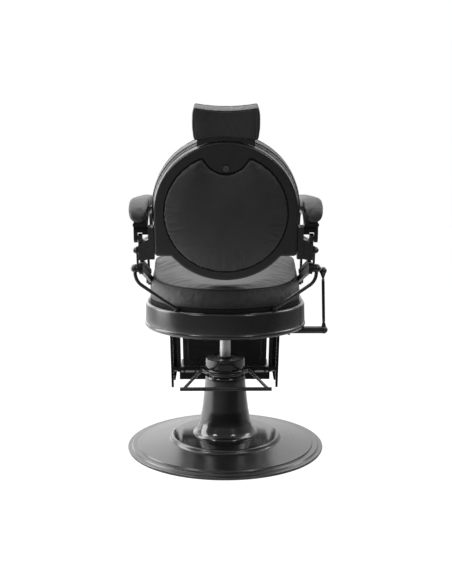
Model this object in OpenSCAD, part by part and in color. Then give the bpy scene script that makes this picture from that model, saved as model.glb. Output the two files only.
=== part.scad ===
// Barber chair on a pump column: round stepped base, foot pedal, round reclining back with a
// lifting head rest, arms that stay level, and a leg rest that swings out as the back reclines.
// The sitter faces +Y, up is +Z. The origin is on the column's axis, at the floor.

/* [Base] */
// Radius of the round base
base_r = 350; // [330:1:380]
// Thickness of the rubber mat under the base
pad_h = 3; // [2:0.5:6]
// Height of the base's outer lip above the rubber mat
lip_h = 6; // [5:0.5:10]
// Width of the outer lip
lip_w = 14; // [10:1:18]
// Radius of the raised dome round the column
dome_r = 196; // [170:1:215]
// Height of the dome above the plate
dome_h = 14; // [10:0.5:20]
// Wall of the cast base
base_wall = 5; // [4:0.5:8]

/* [Column] */
// Radius of the column cover's foot
cover_foot_r = 116; // [108:1:130]
// Radius of the column cover's neck
cover_top_r = 71.5; // [66:0.5:76]
// Height of the column cover
cover_h = 213; // [190:1:235]
// Wall of the column cover
cover_wall = 3; // [2:0.5:4]
// Radius of the pump head
head_r = 70; // [66:0.5:76]
// Height of the pump head's collar
head_h = 34; // [26:1:40]
// Radius of the chrome piston rod
rod_r = 19; // [16:0.5:22]
// Bare length of the piston rod between the pump head and the seat hub
rod_shown = 84; // [84:1:120]
// How far the seat can rise
lift_up = 75; // [40:1:75]
// How far the seat can sink
lift_down = 78; // [40:1:78]

/* [Pedal] */
// Reach of the foot pedal behind the column's axis
pedal_reach = 300; // [270:1:330]
// Width of the pedal's foot bar
pedal_w = 296; // [260:1:320]
// Radius of the pedal's side rods
pedal_rod_r = 5.2; // [4.5:0.1:6]

/* [Seat] */
// Half of the seat apron's width, and the radius of its round rear
apron_r = 282; // [275:1:290]
// Distance from the column's axis to the apron's front face
apron_front = 232; // [220:1:245]
// Height of the apron band
apron_h = 86; // [78:1:95]
// Wall of the apron band
apron_wall = 4; // [3:0.5:5]
// Thickness of the seat board
board_t = 12; // [10:1:15]
// Half width of the seat cushion at its foot
cushion_r = 263; // [260:1:264]
// Height of the seat cushion's side at the rear
cushion_h = 67; // [60:1:72]
// How much the cushion's side draws in towards the top seam
cushion_draw = 27; // [22:1:32]
// Rise of the seat cushion's top from rear to front
cushion_rise = 27; // [10:1:35]

/* [Back] */
// Radius of the round back frame
back_r = 224.5; // [215:0.5:228]
// Lean of the back at rest, in degrees
back_lean = 15; // [10:1:18]
// How far the back reclines from rest, in degrees
recline_max = 40; // [30:1:40]
// Depth of the back frame
back_t = 30; // [30:1:34]
// Radius of the back cushion
back_cushion_r = 232; // [228:1:233]
// Thickness of the back cushion
back_cushion_t = 78; // [60:1:85]
// Radius of the padded disc on the rear of the back
disc_r = 190; // [175:1:195]
// Thickness of the padded disc
disc_t = 17; // [12:1:22]

/* [Head rest] */
// Width of the head rest cushion
head_w = 203; // [180:1:215]
// Height of the head rest cushion at its ends
head_pad_h = 112; // [100:1:125]
// Thickness of the head rest cushion
head_pad_t = 64; // [52:1:68]
// How far the head rest pulls up
head_lift = 110; // [60:1:110]

/* [Arms] */
// Width of the arm pads
arm_w = 64; // [56:1:66]
// How much shorter the arm pad is than the seat rail
arm_short = 30; // [10:1:60]
// Distance from the recline pivot to the arm's rear pivot
arm_rise = 104; // [100:1:108]
// Length of the side rail between its two pivots
rail_len = 460; // [450:1:466]

/* [Leg rest] */
// Length of the leg rest's side plates
leg_len = 312; // [300:1:320]
// Width of the leg rest over its side plates
leg_w = 420; // [412:1:428]
// Slope of the leg rest at rest, in degrees
leg_slope = 20; // [15:1:24]
// Swing of the leg rest for each degree that the back reclines
leg_ratio = 1.25; // [1:0.05:1.25]
// Depth of the foot plate
foot_depth = 185; // [160:1:200]
// How far the foot plate folds up, in degrees
foot_fold = 55; // [30:1:55]

/* [Recline lever] */
// Distance of the upright lever from the column's axis
lever_x = 350; // [335:1:365]
// Height of the lever's ball above its axle
lever_h = 212; // [190:1:230]
// Radius of the lever's axle tube
lever_tube_r = 13; // [10:0.5:14]

/* [Hidden] */
$fn = 96;

// Gap between parts that don't touch, and the radial clearance of a running fit
gap = 0.3;
fit = 0.05;
// Side clearance between parts that turn past each other
side_gap = 1.5;
// Extra length that carries a cut clear of the faces it opens
over = 1;
// Number of facets on soft forms and on hulls
soft_n = 48;

// Places of the hub bolts across the hub plate, as shares of its half width and half depth
hub_bolt_shares = [0.84, 0.78];

// Base and column, from the floor up
edge_round = 2;
step_h = 5;
step_w = 4;
ledge_w = 18;
cone_rise = 13;
dome_round = 9;
dome_crown = 2;
ring_w = 46;
lip_top = pad_h + lip_h;
ledge_r = base_r - lip_w - step_w;
plate_r = ledge_r - ledge_w - step_w;
plate_top = lip_top + 2 * step_h;
dome_foot = plate_top + cone_rise;
cover_z = dome_foot + dome_h + dome_crown;
cover_top = cover_z + cover_h;
neck_h = 31;
neck_r = 58;
head_z = cover_top + neck_h;
head_top = head_z + head_h;
head_chamfer = 2;
cylinder_r = 34;
tube_r = 43;
cylinder_floor = 6;
bore_r = rod_r + 6;
flange_r = 86;
flange_t = 10;
bolt_r = 5;
bolt_head_r = 9;
bolt_head_h = 7;
wiper_h = 4;
wiper_w = 8;
piston_head_h = 25;
piston_len = 180;
rod_foot = head_top - piston_len;
// Heights of the column cover, and how far its radius is above the neck's, both as shares
cover_shares = [[0, 1], [0.024, 0.97], [0.05, 0.82], [0.085, 0.69], [0.136, 0.595], [0.206, 0.463],
    [0.277, 0.38], [0.418, 0.254], [0.59, 0.155], [0.835, 0.03], [0.975, 0], [1, -0.05]];

// Pedal
trunnion_r = 5;
trunnion_z = head_z - 11;
yoke_r = 81;
eye_r = 10;
eye_w = 14;
foot_bar_r = 6.2;
foot_bar_z = trunnion_z + 10;
rod_near_x = yoke_r + 4;
rod_near_y = 16;
rod_splay = 11;
boss_w = 48;
boss_d = 14;
boss_h = 22;

// Seat, from the hub up
hub_h = 36;
hub_r = 34;
hub_top_r = 48;
hub_plate = 190;
hub_plate_t = 8;
hub_z = head_top + rod_shown;
seat_z = hub_z + hub_h;
apron_top = seat_z + apron_h;
board_top = apron_top + board_t;
bead_r = 10;
shoulder_r = 8;
flange_w = 30;
apron_draw = 4;
corner_r = 62;
board_inset = 22;
channel_w = 36;
channel_x = 92;
channel_wall = 4;
channel_rear = 205;
channel_front = 180;
beam_d = apron_front - flange_w - channel_front;
beam_gap = 4;
frame_z = seat_z + hub_plate_t;

// Side frame: the recline pivot, and the rail that runs forward and down from it
pivot_back = 265;
pivot_rise = 148;
rail_slope = 13.4;
rail_x = 264;
rail_t = 12;
rail_half = 11;
rail_boss_r = 19;
post_boss_r = 15;
bar_half = 7;
bar_gap = 6;
bar_foot = 18;
bar_end = rail_len - arm_rise * sin(back_lean + recline_max + rail_slope) - post_boss_r - 2 * side_gap;
pivot_z = apron_top + pivot_rise;
rail_out = rail_x + rail_t;
front_y = rail_len * cos(rail_slope) - pivot_back;
front_z = pivot_z - rail_len * sin(rail_slope);
pivot_pin_r = 6;
post_pin_r = 5;
foot_w = 34;
foot_t = 6;
foot_x = rail_out - foot_t;
foot_flange_w = rail_out - apron_r + board_inset - side_gap;
foot_flange_t = 7;
cheek_x = rail_out + side_gap;
cheek_t = 6;
cheek_end_r = 13;
cheek_waist = 7;
ball_x = cheek_x + cheek_t + side_gap / 2;
ball_r = 14;
brace_r = 5.8;
brace_bend = 52;
weld = 2;
brace_foot_r = 8;
brace_foot_x = 160;
brace_ring = apron_r - 13;

// Back, in a frame at the recline pivot: +Z runs up the back, +Y is its front
back_up = 192;
back_in = 28;
shoulder_drop = 142;
shoulder_round = 12;
frame_round = 9;
frame_wall = 6;
plate_t = 18;
plate_w = 26;
plate_front = 1;
plate_low = 40;
plate_high = 147;
hub_x = back_r + gap + plate_t;
hub_out = rail_out - 1;
hub_half = 21;
hub_low = 36;
hub_in_top = 106;
hub_out_top = 88;
lug_t = 12;
lug_r = 14;
upper_pin_z = 62;
upper_pin_r = 5;
upper_ball_r = 10.5;
arm_pin_r = 5;
disc_notch_r = 73;
disc_notch_up = 181;
disc_horn_r = 16;
lock_up = 146;
lock_r = 9.5;
lock_bore_r = 5;
lock_h = 6;
lock_hex = 8;

// Head rest, in the back frame's own centre
stem_w = 50;
stem_t = 8;
stem_in = 11;
stem_low = 50;
sleeve_wall = 4;
sleeve_low = 105;
sleeve_high = 205;
bracket_w = 174;
bracket_gap = 1.5;
cradle_t = 3;
cradle_d = 48;
head_low = 237;
head_tilt = 3;
head_sag_r = 460;
head_dip_r = 670;
head_bulge = 6;
head_seam = 5;
head_back = 6;
head_drop = 1.1;

// Arms
arm_x = rail_out + side_gap;
arm_mid = 271;
arm_bar_t = 27;
arm_boss_r = 15;
arm_boss_t = 11;
arm_back = 34;
arm_len = rail_len - arm_short;
arm_top = 125;
arm_pad_h = 46;
arm_plate_t = 9;
arm_plate_w = 45;
arm_neck_low = 11;
post_t = 8;
post_x = rail_out + side_gap;
post_half = 8;

// Leg rest, in a frame at its hinge: -Z runs down the side plates, +Y is the front
leg_y = apron_front - 10;
leg_z = seat_z - 21;
leg_plate_t = 9;
leg_plate_half = 15;
leg_plate_x = leg_w / 2 - leg_plate_t;
ear_t = 9;
ear_x = leg_plate_x - side_gap - ear_t;
ear_r = 14;
leg_pin_r = 5;
board_half = 162;
board_low = 213;
board_high = 18;
leg_board_t = 10;
leg_pad_t = 46;
inner_bar_x = 171;
inner_bar_w = 14;
cross_low = 231;
axle_low = 238;
axle_r = 5.7;
axle_collar_r = 9;
axle_collar_t = 4;
collar_x = 104;
foot_drop = 40;
foot_wall = 6;
foot_half = 177;
foot_slope = 10;
tread_n = 7;
tread_w = 12;
tread_h = 3;

// Recline lever
lever_y = 0;
lever_z = seat_z - 22;
lever_in = 196;
lever_knuckle_r = 14;
lever_rod_r = 4.8;
lever_neck_r = 3.6;
lever_ball_r = 13.5;
lever_lean = 1.8;
bracket_t = 8;
bracket_half = 19;
lock_w = 40;
lock_d = 46;
lock_box_h = 52;

// Points of an arc round c, from angle a0 to a1, in n steps
function arc(c, r, a0, a1, n) = [for (i = [0:n]) let (a = a0 + (a1 - a0) * i / n)
    [c.x + r * cos(a), c.y + r * sin(a)]];

// Points of a smooth curve with four control points
function curve(p, n) = [for (i = [0:n]) let (t = i / n, s = 1 - t)
    s * s * s * p[0] + 3 * s * s * t * p[1] + 3 * s * t * t * p[2] + t * t * t * p[3]];

// Outline of a line of points thickened by half widths that run from h0 to h1
function ribbon(p, h0, h1) = let (m = len(p) - 1, side = [for (i = [0:m])
    let (a = p[max(i - 1, 0)], b = p[min(i + 1, m)], d = (b - a) / norm(b - a), h = h0 + (h1 - h0) * i / m)
    [p[i] + h * [-d.y, d.x], p[i] - h * [-d.y, d.x]]])
    concat([for (q = side) q[0]], [for (i = [m:-1:0]) side[i][1]]);

// Closed skin over rings of points; turned is true where the rings run clockwise about their path
module loft(rings, turned = false) {
    n = len(rings[0]);
    m = len(rings);
    function middle(ring) = [for (k = [0:2]) let (v = [for (p = ring) p[k]]) (min(v) + max(v)) / 2];
    pts = concat([for (ring = rings) each ring], [middle(rings[0]), middle(rings[m - 1])]);
    sides = [for (j = [0:m - 2], i = [0:n - 1]) let (a = j * n + i, b = j * n + (i + 1) % n)
        each [[a, a + n, b + n], [a, b + n, b]]];
    caps = [for (i = [0:n - 1]) let (b = (i + 1) % n, t = (m - 1) * n)
        each [[n * m, i, b], [n * m + 1, t + b, t + i]]];
    faces = concat(sides, caps);
    polyhedron(pts, turned ? [for (f = faces) [f[2], f[1], f[0]]] : faces, convexity = 6);
}

// Round rod between two points
module rod(p, q, r, r_end = 0) {
    d = q - p;
    translate(p) rotate([0, acos(d.z / norm(d)), atan2(d.y, d.x)])
        cylinder(h = norm(d), r1 = r, r2 = r_end == 0 ? r : r_end);
}

// Round bar along X from x0 to x1
module bar_x(x0, x1, r) {
    translate([x0, 0, 0]) rotate([0, 90, 0]) cylinder(h = x1 - x0, r = r);
}

// Flat profile in the plane of Y and Z, thickened along X from x0 by t
module slab_x(x0, t) {
    translate([x0, 0, 0]) rotate([90, 0, 90]) linear_extrude(height = t) children();
}

// Flat profile in the plane of X and Z, thickened along Y from y0 by t
module slab_y(y0, t) {
    translate([0, y0 + t, 0]) rotate([90, 0, 0]) linear_extrude(height = t) children();
}

// The same part on the sitter's right for 1, on the left for -1
module side(s) {
    mirror([s < 0 ? 1 : 0, 0, 0]) children();
}

// Frames of the moving groups at rest
module at_pivot() {
    translate([0, -pivot_back, pivot_z]) children();
}
module on_back() {
    at_pivot() rotate([back_lean, 0, 0]) children();
}
module on_shell() {
    on_back() translate([0, -back_in, back_up]) children();
}
module on_rail() {
    at_pivot() rotate([-rail_slope, 0, 0]) children();
}
module on_post() {
    translate([0, front_y, front_z]) rotate([back_lean, 0, 0]) children();
}
module on_arm() {
    at_pivot() translate([0, -arm_rise * sin(back_lean), arm_rise * cos(back_lean)]) children();
}
module on_leg() {
    translate([0, leg_y, leg_z]) rotate([leg_slope, 0, 0]) children();
}
module on_foot() {
    on_leg() translate([0, 0, -axle_low]) rotate([-foot_slope, 0, 0]) children();
}
module on_lever() {
    translate([0, lever_y, lever_z]) children();
}

// Band with the given profile swept round the seat's outline: half round rear, straight front
module seat_band(r, front, c) {
    rotate([0, 0, 180]) rotate_extrude(angle = 180) translate([r, 0]) children();
    for (s = [0, 1]) mirror([s, 0, 0]) {
        translate([r, front - c, 0]) rotate([90, 0, 0]) linear_extrude(height = front - c) children();
        translate([r - c, front - c, 0]) rotate_extrude(angle = 90) translate([c, 0]) children();
    }
    rotate([0, 0, 90]) translate([front, r - c, 0]) rotate([90, 0, 0])
        linear_extrude(height = 2 * (r - c)) children();
}

// Flat outline of the seat
module seat_shape(r, front, c) {
    intersection() {
        circle(r = r);
        translate([-r, -r]) square([2 * r, r]);
    }
    translate([-r, 0]) square([2 * r, front - c]);
    translate([c - r, 0]) square([2 * (r - c), front]);
    for (s = [-1, 1]) translate([s * (r - c), front - c]) circle(r = c);
}

// Outline of the seat as points, drawn in by d
function seat_ring(r, front, c, d) = concat(
    arc([0, 0], r - d, 180, 360, 28),
    arc([r - c, front - c], c - d, 0, 90, 6),
    arc([c - r, front - c], c - d, 90, 180, 6));

module base_plate() {
    top = [
        [base_r, pad_h], [base_r, lip_top - edge_round], [base_r - edge_round, lip_top],
        [ledge_r + step_w, lip_top], [ledge_r, lip_top + step_h], [plate_r + step_w, lip_top + step_h],
        [plate_r + step_w / 2, plate_top], [plate_r - step_w, plate_top],
        [dome_r + step_w, dome_foot]
    ];
    dome = arc([dome_r - dome_round, dome_foot + dome_h - dome_round], dome_round, 0, 90, 6);
    inner = [for (i = [len(top) - 2:-1:3]) [top[i].x, top[i].y - base_wall]];
    color("#141414") rotate_extrude() polygon(concat(top, dome,
        [[cover_foot_r, cover_z], [cylinder_r, cover_z], [cylinder_r, cover_z - base_wall - dome_crown],
        [dome_r - dome_round, dome_foot + dome_h - base_wall], [dome_r - base_wall, dome_foot]],
        inner, [[base_r - ring_w, pad_h]]));
}

module base_mat() {
    color("#101010") cylinder(h = pad_h, r = base_r - edge_round);
}

module column_cover() {
    outer = [for (s = cover_shares) [cover_top_r + (cover_foot_r - cover_top_r) * s[1], cover_z + cover_h * s[0]]];
    inner = [for (i = [len(outer) - 1:-1:0]) [outer[i].x - cover_wall, outer[i].y]];
    color("#0c0c0c") rotate_extrude() {
        polygon(concat(outer, inner));
        translate([neck_r + gap, cover_top - cover_wall])
            square([cover_top_r - cover_wall - neck_r - gap, cover_wall]);
    }
}

module column_tube() {
    color("#26262a") difference() {
        union() {
            translate([0, 0, cover_z]) cylinder(h = cover_h - side_gap, r = tube_r);
            translate([0, 0, cover_z]) cylinder(h = flange_t, r = flange_r);
        }
        translate([0, 0, cover_z + flange_t]) cylinder(h = cover_h, r = cylinder_r + fit);
        for (a = [45:90:315]) rotate([0, 0, a]) translate([(tube_r + flange_r) / 2, 0, cover_z - over])
            cylinder(h = flange_t + 2 * over, r = bolt_r + gap);
    }
}

module column_bolts() {
    color("#8c8c90") for (a = [45:90:315]) rotate([0, 0, a]) translate([(tube_r + flange_r) / 2, 0, cover_z]) {
        cylinder(h = flange_t, r = bolt_r);
        translate([0, 0, flange_t]) cylinder(h = bolt_head_h, r = bolt_head_r, $fn = 6);
    }
}

module pump_cylinder() {
    foot = cover_z + flange_t + gap;
    color("#3a3a3c") difference() {
        translate([0, 0, foot]) cylinder(h = cover_top - foot, r = cylinder_r);
        translate([0, 0, foot + cylinder_floor]) cylinder(h = cover_h, r = bore_r);
    }
}

module pump_head() {
    color("#101010") difference() {
        union() {
            rotate_extrude() polygon([
                [rod_r + fit, cover_top], [neck_r, cover_top], [neck_r, head_z - head_chamfer],
                [head_r - head_chamfer, head_z], [head_r, head_z + head_chamfer],
                [head_r, head_top - head_chamfer], [head_r - head_chamfer, head_top],
                [rod_r + fit, head_top]]);
            translate([-boss_w / 2, -head_r - boss_d / 2, head_z]) cube([boss_w, boss_d, boss_h]);
            translate([0, 0, trunnion_z]) bar_x(-yoke_r - eye_w / 2 - gap, yoke_r + eye_w / 2 + gap, trunnion_r);
        }
        translate([0, 0, cover_top - over]) cylinder(h = head_top - cover_top + 2 * over, r = rod_r + fit);
    }
}

module rod_wiper() {
    color("#0a0a0a") rotate_extrude() translate([rod_r + fit, head_top]) square([wiper_w, wiper_h]);
}

module pedal() {
    color("#161616") difference() {
        union() {
            translate([0, 0, trunnion_z]) rotate([0, 0, 180]) rotate_extrude(angle = 180)
                translate([yoke_r, 0]) circle(r = pedal_rod_r);
            for (s = [-1, 1]) {
                translate([s * yoke_r - eye_w / 2, 0, trunnion_z]) bar_x(0, eye_w, eye_r);
                rod([s * rod_near_x, -rod_near_y, trunnion_z],
                    [s * (pedal_w / 2 - rod_splay), -pedal_reach, foot_bar_z], pedal_rod_r);
            }
            translate([0, -pedal_reach, foot_bar_z]) bar_x(-pedal_w / 2, pedal_w / 2, foot_bar_r);
        }
        translate([0, 0, trunnion_z]) bar_x(-pedal_w, pedal_w, trunnion_r + fit);
    }
}

module piston_rod() {
    color("#c8c8cc") {
        translate([0, 0, rod_foot]) cylinder(h = hub_z + hub_h - fit - rod_foot, r = rod_r);
        translate([0, 0, rod_foot]) cylinder(h = piston_head_h, r = bore_r - fit);
    }
}

module seat_hub() {
    color("#161616") difference() {
        union() {
            translate([0, 0, hub_z]) cylinder(h = hub_h, r1 = hub_r, r2 = hub_top_r);
            translate([-hub_plate / 2, -hub_plate / 2, seat_z]) cube([hub_plate, hub_plate, hub_plate_t]);
        }
        translate([0, 0, hub_z - over]) cylinder(h = hub_h + over + gap, r = rod_r + fit);
        for (x = [-1, 1], y = [-1, 1]) translate([x * hub_plate / 2 * hub_bolt_shares[0], y * hub_plate / 2 * hub_bolt_shares[1], seat_z - over])
            cylinder(h = hub_plate_t + 2 * over, r = bolt_r + gap);
    }
}

module hub_bolts() {
    color("#8c8c90") for (x = [-1, 1], y = [-1, 1])
        translate([x * hub_plate / 2 * hub_bolt_shares[0], y * hub_plate / 2 * hub_bolt_shares[1], seat_z]) {
            cylinder(h = hub_plate_t, r = bolt_r);
            translate([0, 0, -bolt_head_h]) cylinder(h = bolt_head_h, r = bolt_head_r, $fn = 6);
        }
}

module seat_frame() {
    rise = apron_top - frame_z;
    color("#1a1a1a") {
        for (s = [-1, 1]) side(s) translate([channel_x - channel_w, channel_front, frame_z])
            rotate([90, 0, 0]) linear_extrude(height = channel_front + channel_rear) difference() {
                square([channel_w, rise]);
                translate([-over, channel_wall]) square([channel_w - channel_wall + over, rise - 2 * channel_wall]);
            }
        translate([-ear_x, channel_front, apron_top - rise / 2]) cube([2 * ear_x, beam_d, rise / 2]);
    }
}

module apron() {
    color("#121212") translate([0, 0, seat_z]) seat_band(apron_r, apron_front, corner_r) {
        translate([-bead_r, bead_r]) circle(r = bead_r);
        polygon(concat(
            [[-apron_wall / 2 - bead_r / 2, bead_r], [-apron_draw / 2, 2 * bead_r]],
            arc([-apron_draw - shoulder_r, apron_h - shoulder_r], shoulder_r, 0, 90, 6),
            [[-flange_w, apron_h], [-flange_w, apron_h - apron_wall]],
            arc([-apron_draw - shoulder_r, apron_h - shoulder_r], shoulder_r - apron_wall, 90, 0, 6),
            [[-apron_wall - bead_r / 2, 2 * bead_r], [-apron_wall - bead_r, bead_r]]));
    }
}

module seat_board() {
    color("#2a2218") translate([0, 0, apron_top]) linear_extrude(height = board_t)
        seat_shape(apron_r - board_inset, apron_front - board_inset, corner_r - board_inset / 2);
}

// Share of the side's height, and share of the draw, up the side; then how far in, and the crown's height
seat_side_shares = [[0, 0.2], [0.04, 0.02], [0.2, 0], [0.45, 0.2], [0.7, 0.52], [0.9, 0.84], [1, 1]];
seat_crown_shares = [[0.03, 0.025], [0.09, 0.07], [0.25, 0.12], [0.55, 0.17], [0.9, 0.185]];

module seat_cushion() {
    front = apron_front - board_inset / 2;
    z0 = board_top + gap;
    length = cushion_r + front;
    function lifted(p, share) = [p.x, p.y, z0 + share * (cushion_h + cushion_rise * (p.y + cushion_r) / length)];
    rings = concat(
        [for (s = seat_side_shares) [for (p = seat_ring(cushion_r, front, corner_r, cushion_draw * s[1])) lifted(p, s[0])]],
        [for (s = seat_crown_shares) [for (p = seat_ring(cushion_r, front, corner_r, cushion_draw))
            lifted([p.x * (1 - s[0]), p.y * (1 - s[0]), 0], 1 + s[1])]]);
    color("#202020") loft(rings);
}

module side_rail(s) {
    foot_y = front_y - foot_w / 2;
    color("#121212") side(s) difference() {
        union() {
            on_rail() slab_x(rail_x, rail_t) {
                circle(r = rail_boss_r);
                translate([0, -rail_half]) square([rail_len, 2 * rail_half]);
                translate([rail_len, 0]) circle(r = post_boss_r);
            }
            translate([foot_x, foot_y, apron_top]) cube([foot_t, foot_w, front_z - apron_top]);
            translate([rail_out - foot_flange_w, foot_y, apron_top]) cube([foot_flange_w, foot_w, foot_flange_t]);
        }
        on_rail() bar_x(rail_x - over, rail_out + over, pivot_pin_r + gap);
        on_rail() translate([0, rail_len, 0]) bar_x(rail_x - over, rail_out + over, post_pin_r + gap);
    }
}

module upper_bar(s) {
    low = rail_half + bar_gap;
    color("#121212") side(s) on_rail() slab_x(rail_x, rail_t) {
        translate([rail_boss_r, low]) square([bar_end - rail_boss_r, 2 * bar_half]);
        for (y = [rail_boss_r + bar_gap, bar_end - rail_boss_r - bar_foot]) translate([y, rail_half])
            square([bar_foot, bar_gap + bar_half]);
    }
}

module rail_pins() {
    color("#9a9aa0") for (s = [-1, 1]) side(s) {
        at_pivot() bar_x(rail_x, ball_x + ball_r, pivot_pin_r);
        on_post() {
            bar_x(rail_x, post_x + post_t + side_gap, post_pin_r);
            bar_x(post_x + post_t + side_gap, post_x + post_t + side_gap + post_pin_r, post_pin_r * 2);
        }
    }
}

module rear_brace(s) {
    foot_y = -sqrt(brace_ring * brace_ring - brace_foot_x * brace_foot_x);
    mid_x = ball_x + brace_r;
    reach = norm([mid_x - brace_foot_x, -pivot_back - foot_y]);
    start = pivot_z - ball_r;
    drop = start - apron_top - brace_r - gap;
    far = norm([reach - brace_bend, drop]);
    turn = 180 - atan2(drop, reach - brace_bend) - acos(brace_bend / far);
    bent = [brace_bend * (1 - cos(turn)), 0, start - brace_bend * sin(turn)];
    foot = [reach, 0, start - drop];
    way = (foot - bent) / norm(foot - bent);
    color("#121212") side(s) {
        difference() {
            translate([mid_x, -pivot_back, pivot_z]) sphere(r = ball_r);
            translate([0, -pivot_back - 2 * ball_r, pivot_z - 2 * ball_r]) cube([ball_x, 4 * ball_r, 4 * ball_r]);
            at_pivot() bar_x(ball_x - over, ball_x + ball_r + gap, pivot_pin_r + gap);
        }
        translate([mid_x, -pivot_back, 0]) rotate([0, 0, atan2(foot_y + pivot_back, brace_foot_x - mid_x)]) {
            translate([0, 0, start]) cylinder(h = ball_r / 4, r = brace_r);
            translate([brace_bend, 0, start]) rotate([90, 0, 0]) rotate([0, 0, 180])
                rotate_extrude(angle = turn) translate([brace_bend, 0]) circle(r = brace_r);
            rod(bent, foot, brace_r);
            rod(bent - weld * way, bent + weld * way, brace_r + weld / 4);
            translate([reach, 0, apron_top]) cylinder(h = 2 * (start - drop - apron_top), r = brace_foot_r);
        }
    }
}

module leg_hinge() {
    back = 2 * ear_r;
    flange_in = leg_y - apron_front + flange_w;
    color("#121212") translate([0, leg_y, leg_z]) for (s = [-1, 1]) side(s) {
        difference() {
            slab_x(ear_x, ear_t) {
                circle(r = ear_r);
                translate([-back, -ear_r]) square([back, 2 * ear_r]);
                translate([-back, -ear_r]) square([back - flange_in, apron_top - leg_z + ear_r]);
            }
            bar_x(ear_x - over, ear_x + ear_t + over, leg_pin_r + gap);
        }
        bar_x(ear_x, leg_w / 2 + leg_pin_r / 2, leg_pin_r);
    }
}

module lever_bracket() {
    color("#26262a") on_lever() difference() {
        for (x = [lever_in + bracket_t, apron_r - 2 * flange_w]) {
            slab_x(x, bracket_t) {
                circle(r = bracket_half);
                translate([-bracket_half, 0]) square([2 * bracket_half, apron_top - lever_z]);
            }
        }
        bar_x(lever_in, lever_x, lever_tube_r + fit);
    }
}

module lock_unit() {
    color("#2c2c30") translate([lever_in - lock_w - side_gap, -lock_d / 2, apron_top - lock_box_h])
        cube([lock_w, lock_d, lock_box_h]);
}

module recline_lever() {
    color("#101010") on_lever() {
        bar_x(lever_in, lever_x, lever_tube_r);
        translate([lever_x, 0, 0]) sphere(r = lever_knuckle_r);
        translate([lever_x, 0, 0]) rotate([0, -lever_lean, 0]) {
            cylinder(h = lever_tube_r * 2, r1 = lever_tube_r - weld, r2 = lever_rod_r + weld / 4);
            cylinder(h = lever_h - 2 * lever_ball_r, r1 = lever_rod_r, r2 = lever_neck_r);
        }
    }
}

module lever_ball() {
    start = -2 * lever_ball_r;
    color("#0c0c0c") on_lever() translate([lever_x, 0, 0]) rotate([0, -lever_lean, 0])
        translate([0, 0, lever_h]) rotate_extrude() polygon(concat(
            [[0, start], [lever_neck_r + fit, start]],
            arc([0, 0], lever_ball_r, -40, 90, 16)));
}

// Outline of the back frame: a circle with square shoulders at its lower sides, drawn in by d
function shell_ring(d, y) = let (r = back_r - d, c = shoulder_round - min(d, shoulder_round - gap),
    low = -shoulder_drop + d, meet = acos(min(1, -low / r)))
    [for (p = concat(
        arc([0, 0], r, 0, 180, 36),
        arc([-r + c, low + c], c, 180, 270, 4),
        arc([0, 0], r, 270 - meet, 270 + meet, 22),
        arc([r - c, low + c], c, 270, 360, 4))) [p.x, y, p.y]];

module back_frame() {
    color("#141414") on_shell() difference() {
        loft(concat([for (a = [0:22.5:90]) shell_ring(frame_round * (1 - sin(a)), frame_round * (1 - cos(a)))],
            [shell_ring(0, back_t)]), true);
        slab_y(frame_wall, back_t) circle(r = back_r - frame_wall * 2);
        translate([-stem_w / 2 - gap, stem_in - gap, back_r - frame_wall * 3])
            cube([stem_w + 2 * gap, back_t, frame_wall * 4]);
        translate([0, 0, lock_up]) rotate([-90, 0, 0]) translate([0, 0, -over])
            cylinder(h = frame_wall + 2 * over, r = lock_bore_r + fit);
    }
}

// Outline of the rear disc, with a round notch at its top, drawn in by d
function disc_ring(d, y) = let (r = disc_r - d, a = disc_notch_r + d, h = max(disc_horn_r - d, disc_horn_r / 3),
    cz = ((r - h) * (r - h) - (a + h) * (a + h) + disc_notch_up * disc_notch_up) / (2 * disc_notch_up),
    cx = sqrt((r - h) * (r - h) - cz * cz), up = atan2(cz, cx), down = atan2(cz - disc_notch_up, cx))
    [for (p = concat(
        arc([0, 0], r, 180 - up, 360 + up, 44),
        arc([cx, cz], h, up, 180 + down, 7),
        arc([0, disc_notch_up], a, down, -180 - down, 12),
        arc([-cx, cz], h, -down, 180 - up, 7))) [p.x, y, p.y]];

// How far the disc's face is drawn in, and how far it stands out, as shares
disc_shares = [[0.1, 0], [0, 0.2], [0.03, 0.44], [0.16, 0.64], [0.45, 0.76], [1, 0.8]];
// Towards the disc's middle: the outline's size, and how far it stands out, as shares
disc_crown_shares = [[0.55, 0.87], [0.25, 0.93]];

module back_disc() {
    span = disc_t * 1.5;
    color("#222222") on_shell() loft(concat(
        [for (s = disc_shares) disc_ring(span * s[0], -gap - disc_t * s[1])],
        [for (s = disc_crown_shares) [for (p = disc_ring(span, -gap - disc_t * s[1])) [p.x * s[0], p.y, p.z * s[0]]]]));
}

// How far the back cushion's side is drawn in, and how far forward it stands, as shares
back_cushion_shares = [[0.9, 0], [0.35, 0.03], [0.1, 0.2], [0, 0.5], [0.06, 0.72], [0.3, 0.82], [0.5, 0.84]];
back_crown_shares = [[0.93, 0.88], [0.8, 0.94], [0.5, 0.985], [0.2, 1]];

module back_cushion() {
    draw = frame_round * 2;
    color("#202020") on_shell() loft(concat(
        [for (s = back_cushion_shares) [for (p = arc([0, 0], back_cushion_r - draw * s[0], 0, 360 * (1 - 1 / soft_n), soft_n - 1))
            [p.x, back_t + gap + back_cushion_t * s[1], p.y]]],
        [for (s = back_crown_shares) [for (p = arc([0, 0], back_cushion_r * s[0], 0, 360 * (1 - 1 / soft_n), soft_n - 1))
            [p.x, back_t + gap + back_cushion_t * s[1], p.y]]]), true);
}

module side_plate(s) {
    color("#101010") side(s) on_back() translate([back_r + gap, plate_front - plate_w, plate_low])
        cube([plate_t, plate_w, plate_high - plate_low]);
}

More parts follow.
